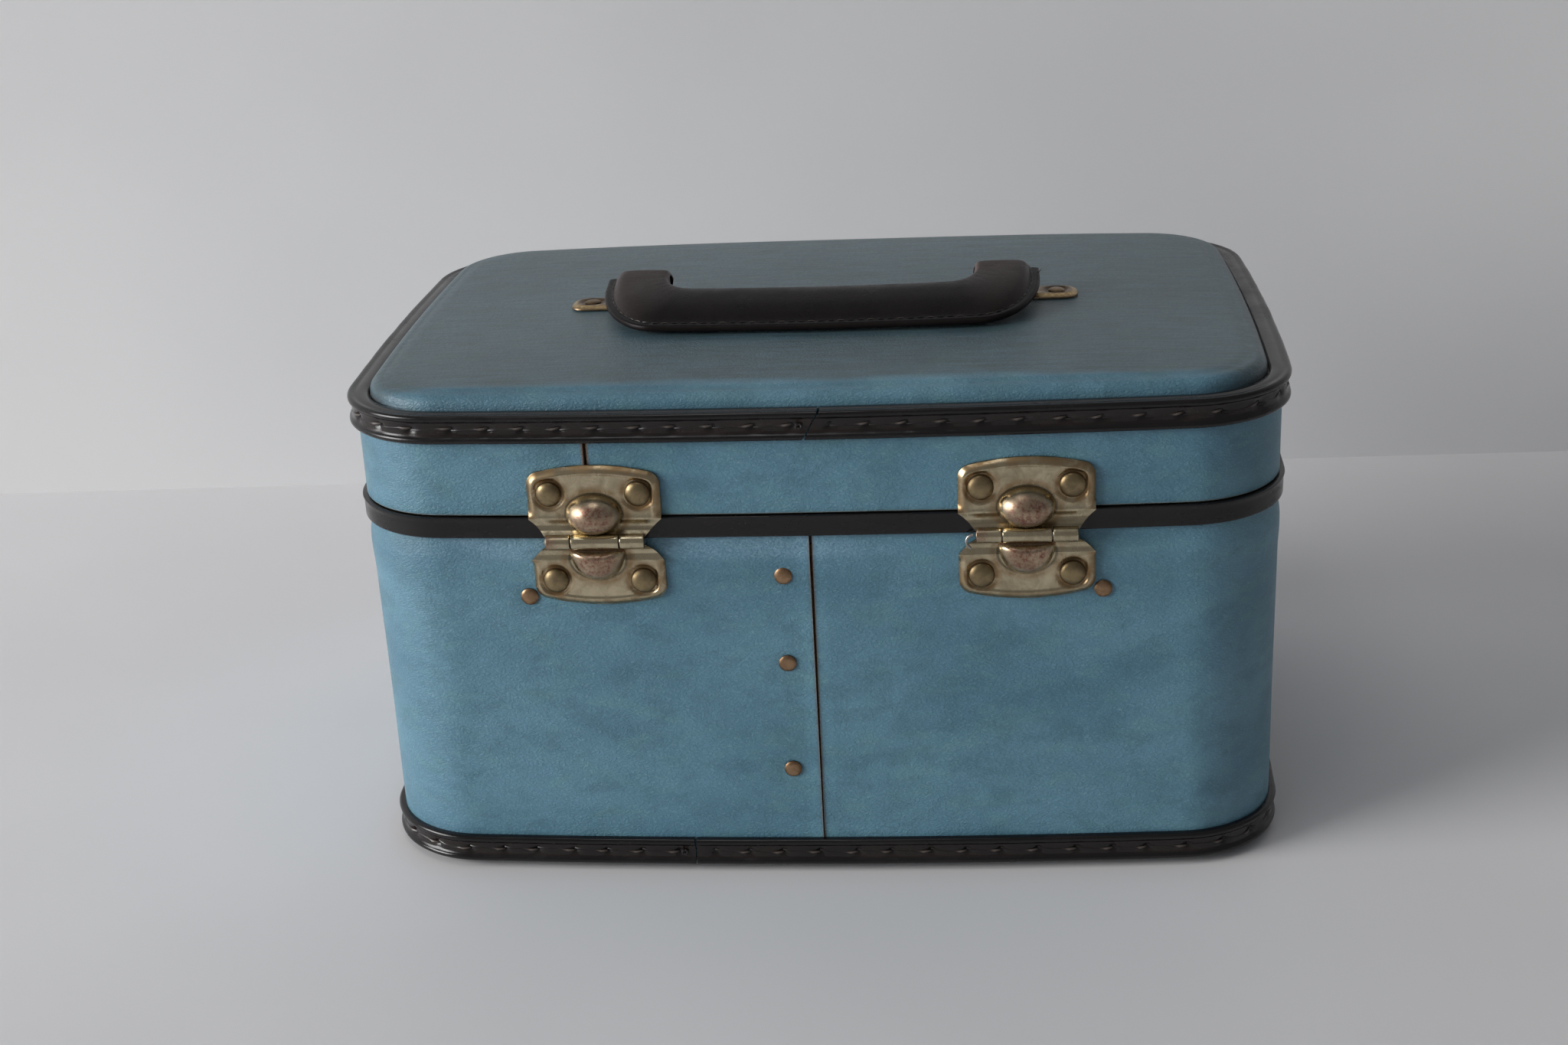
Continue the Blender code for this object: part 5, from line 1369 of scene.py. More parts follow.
@dataclass
class HingeLeaf:
    """One pressed hinge leaf, in x along it, v from its axis to its end and out from the wall."""

    side: Side
    on_lid: bool
    x: float = HINGE_X
    axis_z: float = 131.5 * MM
    axis_out: float = 4.626 * MM
    width: float = 46.5 * MM
    crease: float = 7.6 * MM
    crown: float = 2.2 * MM
    corner: float = 5.0 * MM
    border: float = 2.5 * MM
    field_out: float = 2.6 * MM
    rim_out: float = 0.9 * MM
    barrel: float = 2.65 * MM
    barrel_length: float = 34.5 * MM
    split: float = 8.5 * MM
    rivet_x: float = 15.5 * MM
    sheet: float = 0.9 * MM

    @property
    def up(self) -> int:
        """Which way the leaf runs from its axis."""
        return 1 if self.on_lid else -1

    @property
    def length(self) -> float:
        """The leaf's reach from its axis."""
        return (26.8 if self.on_lid else 25.0) * MM

    @property
    def rivet_v(self) -> float:
        """The rivets' distance from the axis."""
        return (16.7 if self.on_lid else 15.4) * MM

    def top(self, x: Array) -> Array:
        """Where the leaf ends at x: a crowned edge with round corners.

        Args:
            x: Places along the leaf.

        Returns:
            Distances from the axis.
        """
        half, shoulder = self.width / 2, self.length - self.crown
        turn_x = half - self.corner + self.corner * math.cos(math.radians(80))
        turn_v = shoulder - self.corner + self.corner * math.sin(math.radians(80))
        across = np.abs(x)
        arch = turn_v + (self.length - turn_v) * (1 - (across / turn_x) ** 2)
        inside = np.clip(self.corner ** 2 - (across - half + self.corner) ** 2, 0.0, None)
        return np.where(across < turn_x, arch, shoulder - self.corner + np.sqrt(inside))

    def outline(self) -> Array:
        """Closely set points of the leaf's edge above its crease.

        Returns:
            x, v rows.
        """
        half = self.width / 2
        x = half * np.sin(np.linspace(-QUARTER, QUARTER, 260))
        crown = np.stack((x, self.top(x)), -1)
        v = np.linspace(self.crease, crown[0, 1], 80)
        sides = [np.stack((np.full(80, s * half), v), -1) for s in (1, -1)]
        return np.concatenate((crown, *sides))

    def relief(self, x: Array, v: Array) -> tuple[Array, Array]:
        """Height of the pressed sheet and its distance from the edge.

        Args:
            x: Places along the leaf.
            v: Distances from the axis.

        Returns:
            How far out the sheet's front stands, and the distance to the leaf's edge.
        """
        flat = np.stack((x.ravel(), v.ravel()), -1)
        rim = self.outline()
        distance = np.array([np.min((rim[:, 0] - a) ** 2 + (rim[:, 1] - b) ** 2) for a, b in flat]) ** 0.5
        distance = distance.reshape(x.shape)
        slope = 1 - (1 - np.clip(distance / self.border, 0, 1)) ** 1.7
        ramp = self.rim_out + (self.field_out + 0.12 * MM - self.rim_out) * slope
        ramp -= 0.30 * MM * smooth(distance, self.border, self.border + 1.1 * MM)
        near_crease = 1 - smooth(v, self.crease, self.crease + 3.0 * MM)
        out = ramp + (self.field_out - ramp) * near_crease
        out += 0.12 * MM * np.exp(-((v - self.crease) / (0.9 * MM)) ** 2)
        for step in (-1, 1):
            reach = np.hypot(x - step * self.rivet_x, v - self.rivet_v)
            out -= 0.50 * MM * (1 - smooth(reach, 4.9 * MM, 6.4 * MM))
        foot_out = self.axis_out - 0.45 * self.barrel
        share = np.clip((self.crease - v) / (self.crease - 0.55 * self.barrel), 0, 1)
        dip = self.field_out + 0.12 * MM - 0.75 * MM * np.sin(np.clip(share * 1.35, 0, 1) * math.pi) ** 1.2
        run = dip + (foot_out + 1.1 * MM - dip) * smooth(share, 0.62, 1.0)
        return np.where(v < self.crease, run, out), distance

    def place(self, x: Array, v: Array, out: Array) -> Array:
        """Points of the case's frame from the leaf's own.

        Args:
            x: Places along the leaf.
            v: Distances from the axis.
            out: Distances from the wall.

        Returns:
            x, y, z rows.
        """
        s, foot = self.side.value, 0.55 * self.barrel
        lean = np.clip((v - foot) / (self.crease - foot), 0, 1)
        y = -PLAN.wall(self.x) + s * PLAN.slope(self.x) * x * lean - out
        return np.stack((s * self.x + x, y, self.axis_z + self.up * v), -1)

    def plate(self) -> Skin:
        """The sheet from its rounded edge to the barrel, front and back.

        Returns:
            The closed sheet.
        """
        t = np.linspace(-1, 1, 121)
        across = np.sin(t * QUARTER) * 0.75 + t * 0.25
        half = self.width / 2
        low = np.linspace(0.55 * self.barrel, self.crease, 14)[:-1]
        shares = 1 - (1 - np.linspace(0, 1, 54)) ** 1.25
        top = self.top(across * half)
        rows_x, rows_v = [], []
        for v in low:
            share = (v - low[0]) / (self.crease - low[0])
            wide = self.barrel_length / 2 + (half - self.barrel_length / 2) * share
            rows_x.append(across * wide)
            rows_v.append(np.full(len(across), v))
        for share in shares:
            rows_x.append(across * half)
            rows_v.append(self.crease + (top - self.crease) * share)
        x, v = np.array(rows_x), np.array(rows_v)
        out, distance = self.relief(x, v)
        front = self.place(x, v, out)
        back = self.place(x, v, np.maximum(out - self.sheet, 0.25 * MM))
        rows, columns = x.shape
        index = np.arange(rows * columns).reshape(rows, columns)
        rim = np.concatenate((index[0], index[1:, -1], index[-1, -2::-1], index[-2:0:-1, 0]))
        skin = Skin.grid(front)
        behind = Skin.grid(back)
        count = rows * columns
        faces = skin.faces + [[i + count for i in face[::-1]] for face in behind.faces]
        for a, b in zip(rim, np.roll(rim, -1)):
            faces.append([int(a), int(b), int(b) + count, int(a) + count])
        stain = 0.75 * (1 - smooth(distance, 0.4 * MM, 4.2 * MM)) * (v > self.crease)
        for step in (-1, 1):
            reach = np.hypot(x - step * self.rivet_x, v - self.rivet_v)
            stain = np.maximum(stain, 0.9 * np.exp(-((reach - 5.2 * MM) / (1.5 * MM)) ** 2))
        dome = np.hypot(x / (10 * MM), (v - (9.5 if self.on_lid else 7.5) * MM) / (7.5 * MM))
        stain = np.maximum(stain, 0.7 * np.exp(-((dome - 1.15) / 0.16) ** 2))
        # Painted shade: a dark ring round the dome's foot and a dark line along the barrel's foot.
        dark = 0.75 * np.exp(-((dome - 1.0) / 0.05) ** 2) * (v > 3.6 * MM)
        dark = np.maximum(dark, 0.65 * np.exp(-((v - 2.6 * MM) / (1.1 * MM)) ** 2))
        both = Skin(np.concatenate((skin.points, behind.points)), faces)
        zero = np.zeros(count)
        both.masks = {"stain": np.concatenate((stain.ravel(), zero + 0.5)),
                      "dark": np.concatenate((dark.ravel(), zero + 0.3))}
        return both

    def dome(self) -> Skin:
        """The dome: an egg-shaped bumper on the lid's leaf, a shelf-topped stop on the body's.

        Returns:
            The closed dome.
        """
        angles = np.linspace(0, 2 * math.pi, 73)[:-1]
        if self.on_lid:
            centre, half_v, base, rise, power = 9.5 * MM, 7.3 * MM, 2.0 * MM, 8.3 * MM, 2.0
            ray = 1 / np.sqrt((np.cos(angles) / (10 * MM)) ** 2 + (np.sin(angles) / half_v) ** 2)
        else:
            centre, base, rise, power = 6.3 * MM, 2.0 * MM, 5.6 * MM, 2.5
            ray = []
            for a in angles:
                reach = np.linspace(0.5 * MM, 16 * MM, 320)
                u, w = reach * math.cos(a), centre + reach * math.sin(a) - 3.2 * MM
                corner = (np.abs(u) / (10 * MM)) ** 2.2 + (np.clip(w, 0, None) / (12.3 * MM)) ** 2
                inside = (corner < 1) & (w > 0.0)
                ray.append(reach[inside][-1])
            ray = np.array(ray)
            for _ in range(2):
                ray = (np.roll(ray, 1) + 2 * ray + np.roll(ray, -1)) / 4
        rows, worn = [], []
        for share in np.linspace(0.0, 1.0, 22):
            reach = math.sin(share * QUARTER)
            lift = (1 - reach ** power) ** 0.5 if self.on_lid else (1 - reach ** power) ** 0.62
            x, v = ray * np.cos(angles) * max(reach, 0.004), centre + ray * np.sin(angles) * max(reach, 0.004)
            rows.append(np.stack((x, v, np.full(72, base + rise * lift)), -1))
            worn.append(np.full(72, 1.0 - smooth(reach, 0.55, 0.97)))
        rows.append(rows[-1] + np.array((0.0, 0.0, -0.9 * MM)))
        worn.append(np.zeros(72))
        local = np.array(rows)
        gap = self.barrel + FIT
        axis = np.array((0.0, self.axis_out))
        if self.on_lid:
            away = local[..., 1:] - axis
            reach = np.linalg.norm(away, axis=-1)
            near = (reach < gap) & (np.abs(local[..., 0]) < self.split)
            push = np.where(near, gap / np.maximum(reach, 1e-6), 1.0)
            local[..., 1:] = axis + away * push[..., None]
        spots = self.place(local[..., 0], local[..., 1], local[..., 2])
        skin = Skin.loft(spots)
        skin.masks["worn"] = np.array(worn).ravel()
        edge = np.repeat(np.linspace(0, 1, 23), 72)
        # Painted shade round the dome's foot.
        skin.masks["dark"] = 0.5 * smooth(edge, 0.93, 1.0)
        if not self.on_lid:
            skin.masks["rust"] = 0.9 * (local[..., 1] < 4.1 * MM).ravel() * smooth(edge, 0.5, 0.8)
        return skin

    def knuckles(self) -> list[Skin]:
        """The rolled knuckles of this leaf, with rounded ends and an open bore.

        Returns:
            Two outer knuckles on the lid, one in the middle on the body.
        """
        end, gap = self.barrel_length / 2, FIT / 2
        inner, outer = self.split - gap, self.split + gap
        r, bore, edge = self.barrel, 1.4 * MM, 0.28 * MM
        angles = np.arange(40) * 2 * math.pi / 40
        skins = []
        for start, stop in ((-end, -outer), (outer, end)) if self.on_lid else ((-inner, inner),):
            profile = [(bore, start), (r - edge, start)]
            profile += [(r - edge * 0.3, start + edge * 0.3), (r, start + edge)]
            profile += [(r, a) for a in np.linspace(start + edge, stop - edge, 14)[1:-1]]
            profile += [(r, stop - edge), (r - edge * 0.3, stop - edge * 0.3), (r - edge, stop), (bore, stop)]
            rows = [np.stack((np.full(40, self.side.value * self.x + at),
                              -PLAN.wall(self.x) - self.axis_out - radius * np.sin(angles),
                              self.axis_z + radius * np.cos(angles)), -1) for radius, at in profile]
            skin = Skin.grid(np.array(rows), round_rows=True, round_columns=True)
            ends = np.repeat([min(a - start, stop - a) for _, a in profile], 40)
            skin.masks["dark"] = 0.6 * (ends < 0.1 * MM)
            worn = [0.8 * math.exp(-((a + end) / (4 * MM)) ** 2) for _, a in profile]
            skin.masks["worn"] = np.repeat(worn, 40)
            skins.append(skin)
        return skins

    def build(self, palette: Palette) -> Piece:
        """Make the leaf.

        Args:
            palette: The case's finishes.

        Returns:
            The piece.
        """
        part = "lid" if self.on_lid else "body"
        node = f"hinge_{self.side.word}_{part}_leaf"
        skin = self.plate().joined(self.dome(), *self.knuckles())
        host = Host.LID if self.on_lid else Host.BODY
        name = f"hinge_{self.side.word}_{part}_plate"
        return put(name, skin, palette.hinge, host, [node], 48)

    def rivet_frames(self) -> list[Matrix]:
        """Frames of the leaf's rivets, Z out of the leaf.

        Returns:
            One frame each.
        """
        s, slope = self.side.value, PLAN.slope(self.x)
        turn = Matrix.Rotation(s * math.atan(slope), 4, "Z") @ Matrix.Rotation(QUARTER, 4, "X")
        found = []
        for step in (-1, 1):
            y = -PLAN.wall(self.x) + s * step * slope * self.rivet_x - 2.45 * MM
            spot = (s * self.x + step * self.rivet_x, y, self.axis_z + self.up * self.rivet_v)
            found.append(Matrix.Translation(spot) @ turn)
        return found


@dataclass
class HingePin:
    """The wire pin of a hinge; the right one has a curled tail at its inner end."""

    side: Side
    radius: float = 1.1 * MM
    tail: float = 2.4 * MM
    wire: float = 0.55 * MM

    def build(self, palette: Palette) -> Piece:
        """Make the pin with domed ends, and the right one's tail.

        Args:
            palette: The case's finishes.

        Returns:
            The piece.
        """
        leaf = HingeLeaf(self.side, True)
        y, z = -PLAN.wall(leaf.x) - leaf.axis_out, leaf.axis_z
        end = leaf.barrel_length / 2
        xs = np.concatenate(([-end - 0.25 * MM, -end], np.linspace(-end + 0.3 * MM, end - 0.3 * MM, 12),
                             [end, end + 0.25 * MM]))
        path = np.stack((self.side.value * leaf.x + xs, np.full(16, y), np.full(16, z)), -1)
        radii = np.full(16, self.radius)
        radii[[0, -1]] *= 0.6
        skin = tube(path, radii, 16)
        skin.masks["stain"] = np.full(len(skin.points), 0.5)
        if self.side is Side.RIGHT:
            angles = np.radians(np.linspace(90, 250, 22))
            bend = np.stack((self.side.value * leaf.x - end - 0.9 * MM + self.tail * np.cos(angles),
                             y + 0.5 * MM * np.sin(angles * 0.7),
                             z - self.tail + self.tail * np.sin(angles)), -1)
            skin = skin.joined(tube(bend, self.wire, 10))
        name = f"hinge_{self.side.word}_pin"
        return put(name + "_wire", skin, palette.steel, Host.BODY, [name], 40)


@dataclass
class HandleBracket:
    """A pressed bracket: two dished feet with sloping edges and the raised loop between them."""

    side: Side
    x: float = PIVOT_X
    y: float = -0.5 * MM
    seat: float = 183.892 * MM
    sheet: float = 1.5 * MM
    width: float = 15.0 * MM
    neck: float = 6.0 * MM
    reach: float = 28.5 * MM
    loop: float = 16.5 * MM
    rivet_x: float = 20.5 * MM
    top: float = 192.142 * MM
    bevel: float = 2.4 * MM

    def foot(self, step: int) -> Skin:
        """One foot from the loop's heel to its round end.

        Args:
            step: -1 towards -X, 1 towards +X.

        Returns:
            The foot's skin.
        """
        half, heel = self.width / 2, (self.loop - self.sheet) / 2
        centre = self.reach - half
        arc = arc_points((centre, 0.0), half, -90, 90, 28)
        side_low = [(x, -half) for x in np.linspace(heel + half - self.neck / 2, centre, 10)][:-1]
        rim = [(heel, -self.neck / 2)] + side_low + arc + [(x, -y) for x, y in side_low[::-1]]
        rim = np.array(rim + [(heel, self.neck / 2)])
        round_end = rim[:, 0] > centre
        turn = np.arctan2(rim[:, 1], rim[:, 0] - centre)
        across, along = np.abs(np.cos(turn)) ** 0.72, np.sign(turn) * np.abs(np.sin(turn)) ** 0.72
        rim[round_end] = half * np.stack((across, along), -1)[round_end] + (centre, 0.0)
        rivet = np.array((self.rivet_x, 0.0))
        spine = np.stack((np.clip(rim[:, 0], heel + 1.2 * MM, centre), np.zeros(len(rim))), -1)
        inward = spine - rim
        depth = np.linalg.norm(inward, axis=1)[:, None]
        inward = inward / np.maximum(depth, 1e-6)
        rings = []
        slope = [(0.0, 0.05), (0.05, 0.32), (0.45, 0.62), (0.8, 0.86), (1.0, 0.97), (1.25, 1.0)]
        for along, share in slope:
            flat = rim + inward * np.minimum(self.bevel * along, depth * 0.8)
            rings.append(level(flat, self.seat + self.sheet * share))
        last = rings[-1][:, :2]
        for share in np.linspace(0.12, 1.0, 16):
            flat = last + (rivet - last) * share
            dip = 0.75 * MM * (1 - smooth(np.hypot(*(flat - rivet).T), 3.2 * MM, 5.0 * MM))
            rings.append(level(flat, self.seat + self.sheet - dip))
        grid = np.array([level(rim, self.seat)] + rings)
        grid[..., 0] *= step
        skin = Skin.loft(grid)
        rise = (skin.points[:, 2] - self.seat) / self.sheet
        away = np.hypot(skin.points[:, 0] * step - self.rivet_x, skin.points[:, 1])
        skin.masks["stain"] = np.exp(-((away - 4.4 * MM) / (1.2 * MM)) ** 2) * (rise > 0.4)
        # Bevel wear: bare brass on the sloping edges, its pale colour partly a painted highlight.
        edge = smooth(rise, 0.2, 0.6) * (1 - smooth(rise, 0.9, 1.0))
        skin.masks["worn"] = np.where(away > 5.6 * MM, 0.9 * edge, 0)
        return skin

    def bow(self) -> Skin:
        """The raised loop, a bent strip with rounded corners.

        Returns:
            The strip's skin.
        """
        half, low = self.loop / 2 - self.sheet / 2, self.seat + self.sheet / 2
        high, r = self.top - self.sheet / 2, 1.6 * MM
        path = [(-half - 1.5 * MM, low)] + arc_points((-half - r, low + r), r, -90, 0, 4)
        path += arc_points((-half + r, high - r), r, 180, 90, 6)
        path += arc_points((half - r, high - r), r, 90, 0, 6)
        path += arc_points((half + r, low + r), r, 180, 270, 4) + [(half + 1.5 * MM, low)]
        path = np.array(path)
        ahead = np.gradient(path, axis=0)
        ahead /= np.linalg.norm(ahead, axis=1)[:, None]
        normal = np.stack((-ahead[:, 1], ahead[:, 0]), -1)
        t, w, e = self.sheet / 2, self.neck / 2, 0.3 * MM
        section = [(-w + e, -t), (w - e, -t), (w, -t + e), (w, t - e), (w - e, t), (-w + e, t), (-w, t - e),
                   (-w, -t + e)]
        rows = [[(p[0] + n[0] * h, y, p[1] + n[1] * h) for y, h in section] for p, n in zip(path, normal)]
        return Skin.loft(rows)

    def build(self, palette: Palette) -> Piece:
        """Make the bracket.

        Args:
            palette: The case's finishes.

        Returns:
            The piece.
        """
        place = Matrix.Translation((self.side.value * self.x, self.y, 0.0))
        skin = self.foot(-1).joined(self.foot(1), self.bow()).placed(place)
        name = f"handle_bracket_{self.side.word}"
        return put(name + "_strap", skin, palette.bronze, Host.LID, [name], 40)

    def rivet_frames(self) -> list[Matrix]:
        """Frames of the bracket's rivets, sunk in their dishes."""
        z = self.seat + self.sheet - 0.35 * MM
        return [Matrix.Translation((self.side.value * self.x + s * self.rivet_x, self.y, z)) for s in (-1, 1)]


@dataclass
class SewnHandle:
    """The padded handle, folded on the lid, in its own frame: Y from the pivot to the grip, Z up."""

    x: float = PIVOT_X
    y: float = -0.5 * MM
    z: float = 191.392 * MM
    tilt: float = math.radians(7.0)
    leg: float = 21.5 * MM
    sleeve: float = 5.7 * MM
    drop: float = 5.0 * MM
    grip_inner: float = 13.5 * MM
    grip_outer: float = 40.0 * MM
    bow: float = 1.5 * MM
    grip_top: float = 5.5 * MM
    grip_bottom: float = 4.3 * MM
    inner_corner: float = 10.0 * MM
    outer_corner: float = 21.0 * MM
    flange: float = 3.4 * MM
    welt: float = 1.35 * MM
    bore: float = 3.4 * MM
    pitch: float = 3.6 * MM
    leg_shares: tuple = ((0.0, 0.0), (0.015, 0.45), (0.05, 0.80), (0.12, 0.96), (0.34, 1.0), (0.68, 1.0),
                         (0.86, 0.92), (0.96, 0.58), (1.0, 0.25))
    grip_shares: tuple = ((0.0, 0.0), (0.015, 0.34), (0.05, 0.66), (0.13, 0.90), (0.34, 1.0), (0.62, 0.84),
                          (0.82, 0.56), (0.94, 0.34), (1.0, 0.24))

    def frame(self) -> Matrix:
        """Placement of the folded handle."""
        turn = Matrix.Rotation(math.pi, 4, "Z") @ Matrix.Rotation(-self.tilt, 4, "X")
        return Matrix.Translation((0.0, self.y, self.z)) @ turn

    def stations(self) -> list[tuple]:
        """Stations from the right leg's end to the left leg's.

        Returns:
            Inner and outer point, heights over and under, blend from leg to grip and flange of each.
        """
        inner_x, outer_x = self.x - self.leg / 2, self.x + self.leg / 2
        rows = []
        for angle in (88, 80, 70, 60, 50, 40, 39, 30, 20, 10, 0):
            back, swing = -self.sleeve * math.sin(math.radians(angle)), math.cos(math.radians(angle))
            rows.append(((inner_x, back), (outer_x, back), self.sleeve * swing, self.drop * swing, 0.0,
                         self.flange if angle < 40 else 0.02 * MM))
        straight = self.bore + FIT
        for share in (0.5, 1.0):
            inner, outer = (inner_x, straight * share), (outer_x, straight * share)
            rows.append((inner, outer, self.sleeve, self.drop, 0.0, self.flange))
        for share in np.linspace(0, 1, 25)[1:]:
            turn = share * QUARTER
            inner = (inner_x - self.inner_corner * (1 - math.cos(turn)),
                     straight + (self.grip_inner - straight) * math.sin(turn))
            outer = (outer_x - self.outer_corner * (1 - math.cos(turn)),
                     straight + (self.grip_outer - straight) * math.sin(turn))
            rows.append((inner, outer, self.sleeve + (self.grip_top - self.sleeve) * share,
                         self.drop + (self.grip_bottom - self.drop) * share, share, self.flange))
        for share in np.linspace(1, 0, 26)[1:]:
            arch = self.bow * (1 - share * share)
            rows.append((((inner_x - self.inner_corner) * share, self.grip_inner + arch),
                         ((outer_x - self.outer_corner) * share, self.grip_outer + arch),
                         self.grip_top, self.grip_bottom, 1.0, self.flange))
        left = [((-i[0], i[1]), (-o[0], o[1]), t, b, k, f) for i, o, t, b, k, f in reversed(rows[:-1])]
        return rows + left

    def cover(self) -> Skin:
        """The leather cover with its flange, wrinkled a little inside its corners.

        Returns:
            The closed cover.
        """
        rows = self.stations()
        half_leg = curve_through(self.leg_shares, 3)
        half_grip = curve_through(self.grip_shares, 3)
        loops, rub_and_highlight_rows, holes = [], [], []
        length = 0.0
        before = None
        for number, (inner, outer, top, bottom, blend, flange) in enumerate(rows):
            start, run = Vector(inner), Vector(outer) - Vector(inner)
            length += (Vector(outer) - before).length if before else 0.0
            before = Vector(outer)
            half = half_leg + (half_grip - half_leg) * blend
            welt = min(self.welt, top * 0.9)
            wrinkle = 0.05 * MM * math.sin(number * 1.9) * math.sin(math.pi * min(1.0, blend))
            points, rub = [], []
            for share, height in half:
                lift = max(top * height, welt * smooth(share, 0.9, 1.0))
                points.append((start + run * share, lift + wrinkle * (share < 0.4)))
                # Wear and painted highlight along the inner top edge and over the legs.
                rub.append(0.9 * math.exp(-((share - 0.05) / 0.04) ** 2) + 0.45 * (1 - blend))
            for along, high in ((0.25, 0.82), (0.6, 0.92), (0.85, 0.85), (0.97, 0.5), (1.0, 0.0),
                                (0.97, -0.5), (0.85, -0.85), (0.25, -0.85)):
                points.append((start + run * (1 + along * flange / run.length), high * welt))
                rub.append(0.1 * (abs(high) < 0.6))
            for share, height in half[::-1][:-1]:
                depth = max(bottom * height, welt * smooth(share, 0.9, 1.0))
                points.append((start + run * share, -depth))
                rub.append(0.1)
            loops.append([(p.x, p.y, h) for p, h in points])
            rub_and_highlight_rows.append(rub)
            phase = abs((length / self.pitch) % 1.0 - 0.5) * 2
            hole = np.zeros(len(points))
            # Painted shade in the stitch holes along the seam.
            hole[len(half):len(half) + 2] = 0.9 * smooth(phase, 0.45, 0.9)
            holes.append(hole if flange > MM else hole * 0)
        skin = Skin.loft(loops)
        skin.masks = {"rub": np.array(rub_and_highlight_rows).ravel(), "hole": np.array(holes).ravel()}
        return skin

    def threads(self) -> Skin:
        """The seam's stitches on both faces of the flange, and one loose end.

        Returns:
            The threads in one skin.
        """
        ends = np.array([row[:2] for row in self.stations() if row[5] > MM])
        across = ends[:, 1] - ends[:, 0]
        line = ends[:, 1] + across * (0.45 * MM / np.linalg.norm(across, axis=1))[:, None]
        run = run_along(line)
        skins = []
        for face in (1, -1):
            for begin in np.arange(0.6 * MM, run[-1] - self.pitch, self.pitch):
                share = np.linspace(0.12, 0.80, 6)
                at = begin + share * self.pitch
                lift = face * (self.welt * 0.86 + 0.20 * MM * np.sin(np.linspace(0, math.pi, 6)))
                path = np.stack((np.interp(at, run, line[:, 0]), np.interp(at, run, line[:, 1]), lift), -1)
                skin = tube(path, 0.19 * MM, 5)
                # Painted glint on every third stitch.
                glint = 0.25 if begin % (3 * self.pitch) < self.pitch else 0.0
                skin.masks["glint"] = np.full(len(skin.points), glint)
                skins.append(skin)
        end = -self.x - self.leg / 2 - 2.6 * MM
        loose = np.array([(end - 1.1 * MM * t, 1.5 * MM + 2.4 * MM * math.sin(2.4 * t),
                           1.2 * MM + 1.8 * MM * math.sin(1.6 * t)) for t in np.linspace(0, 1.5, 12)])
        return skins[0].joined(*skins[1:], tube(loose, 0.14 * MM, 5))

    def cutters(self) -> list[Skin]:
        """The bores through the sleeves and the slots that the bracket's legs need.

        Returns:
            One closed tool each.
        """
        skins = []
        half, rest, lift = 3.6 * MM, self.tilt, math.radians(14)
        reach = self.sleeve + 4 * MM
        foot = (half * math.cos(rest) + reach * math.sin(rest),
                half * math.sin(rest) - reach * math.cos(rest))
        bend = half * (1 - math.sin(lift)) / math.cos(lift)
        end = (-reach, (half + reach * math.sin(lift)) / math.cos(lift))
        outline = (foot, (half, bend), end, (-reach, foot[1]))
        low, high = self.x - self.leg / 2 - 4 * MM, self.x + 8.6 * MM
        circle = [(self.bore * math.cos(a), self.bore * math.sin(a))
                  for a in np.linspace(0, 2 * math.pi, 29)[:-1]]
        for side in (-1, 1):
            rows = [[(side * x, a, b) for a, b in circle] for x in (low, high)]
            skins.append(Skin.loft(rows))
            for step in (-1, 1):
                middle = side * self.x + step * 7.5 * MM
                rows = [[(x, a, b) for a, b in outline] for x in (middle - 1.35 * MM, middle + 1.35 * MM)]
                skins.append(Skin.loft(rows))
        return skins

    def build(self, palette: Palette) -> Piece:
        """Make the cover, cut its sleeves and sew it.

        Args:
            palette: The case's finishes.

        Returns:
            The cover.
        """
        piece = put("handle_leather", self.cover().placed(self.frame()), palette.leather, Host.HANDLE,
                    ["handle_cover"], 50)
        for tool in self.cutters():
            cut(piece, tool.placed(self.frame()))
        threads = self.threads().placed(self.frame())
        put("handle_stitching", threads, palette.thread, Host.HANDLE)
        return piece


def cut(piece: Piece, tool: Skin) -> None:
    """Cut a closed tool out of a piece and keep the result as its mesh.

    Args:
        piece: The piece to cut.
        tool: The closed body to take away.
    """
    cutter = add_object("tool", mesh_of("tool", tool))
    step = piece.modifiers.new("cut", "BOOLEAN")
    step.operation, step.object, step.solver = "DIFFERENCE", cutter, "MANIFOLD"
    bpy.context.view_layer.update()
    graph = bpy.context.evaluated_depsgraph_get()
    piece.data = bpy.data.meshes.new_from_object(piece.evaluated_get(graph), preserve_all_data_layers=True,
                                                 depsgraph=graph)
    piece.modifiers.clear()
    piece.data.set_sharp_from_angle(angle=math.radians(50))
    bpy.data.objects.remove(cutter, do_unlink=True)


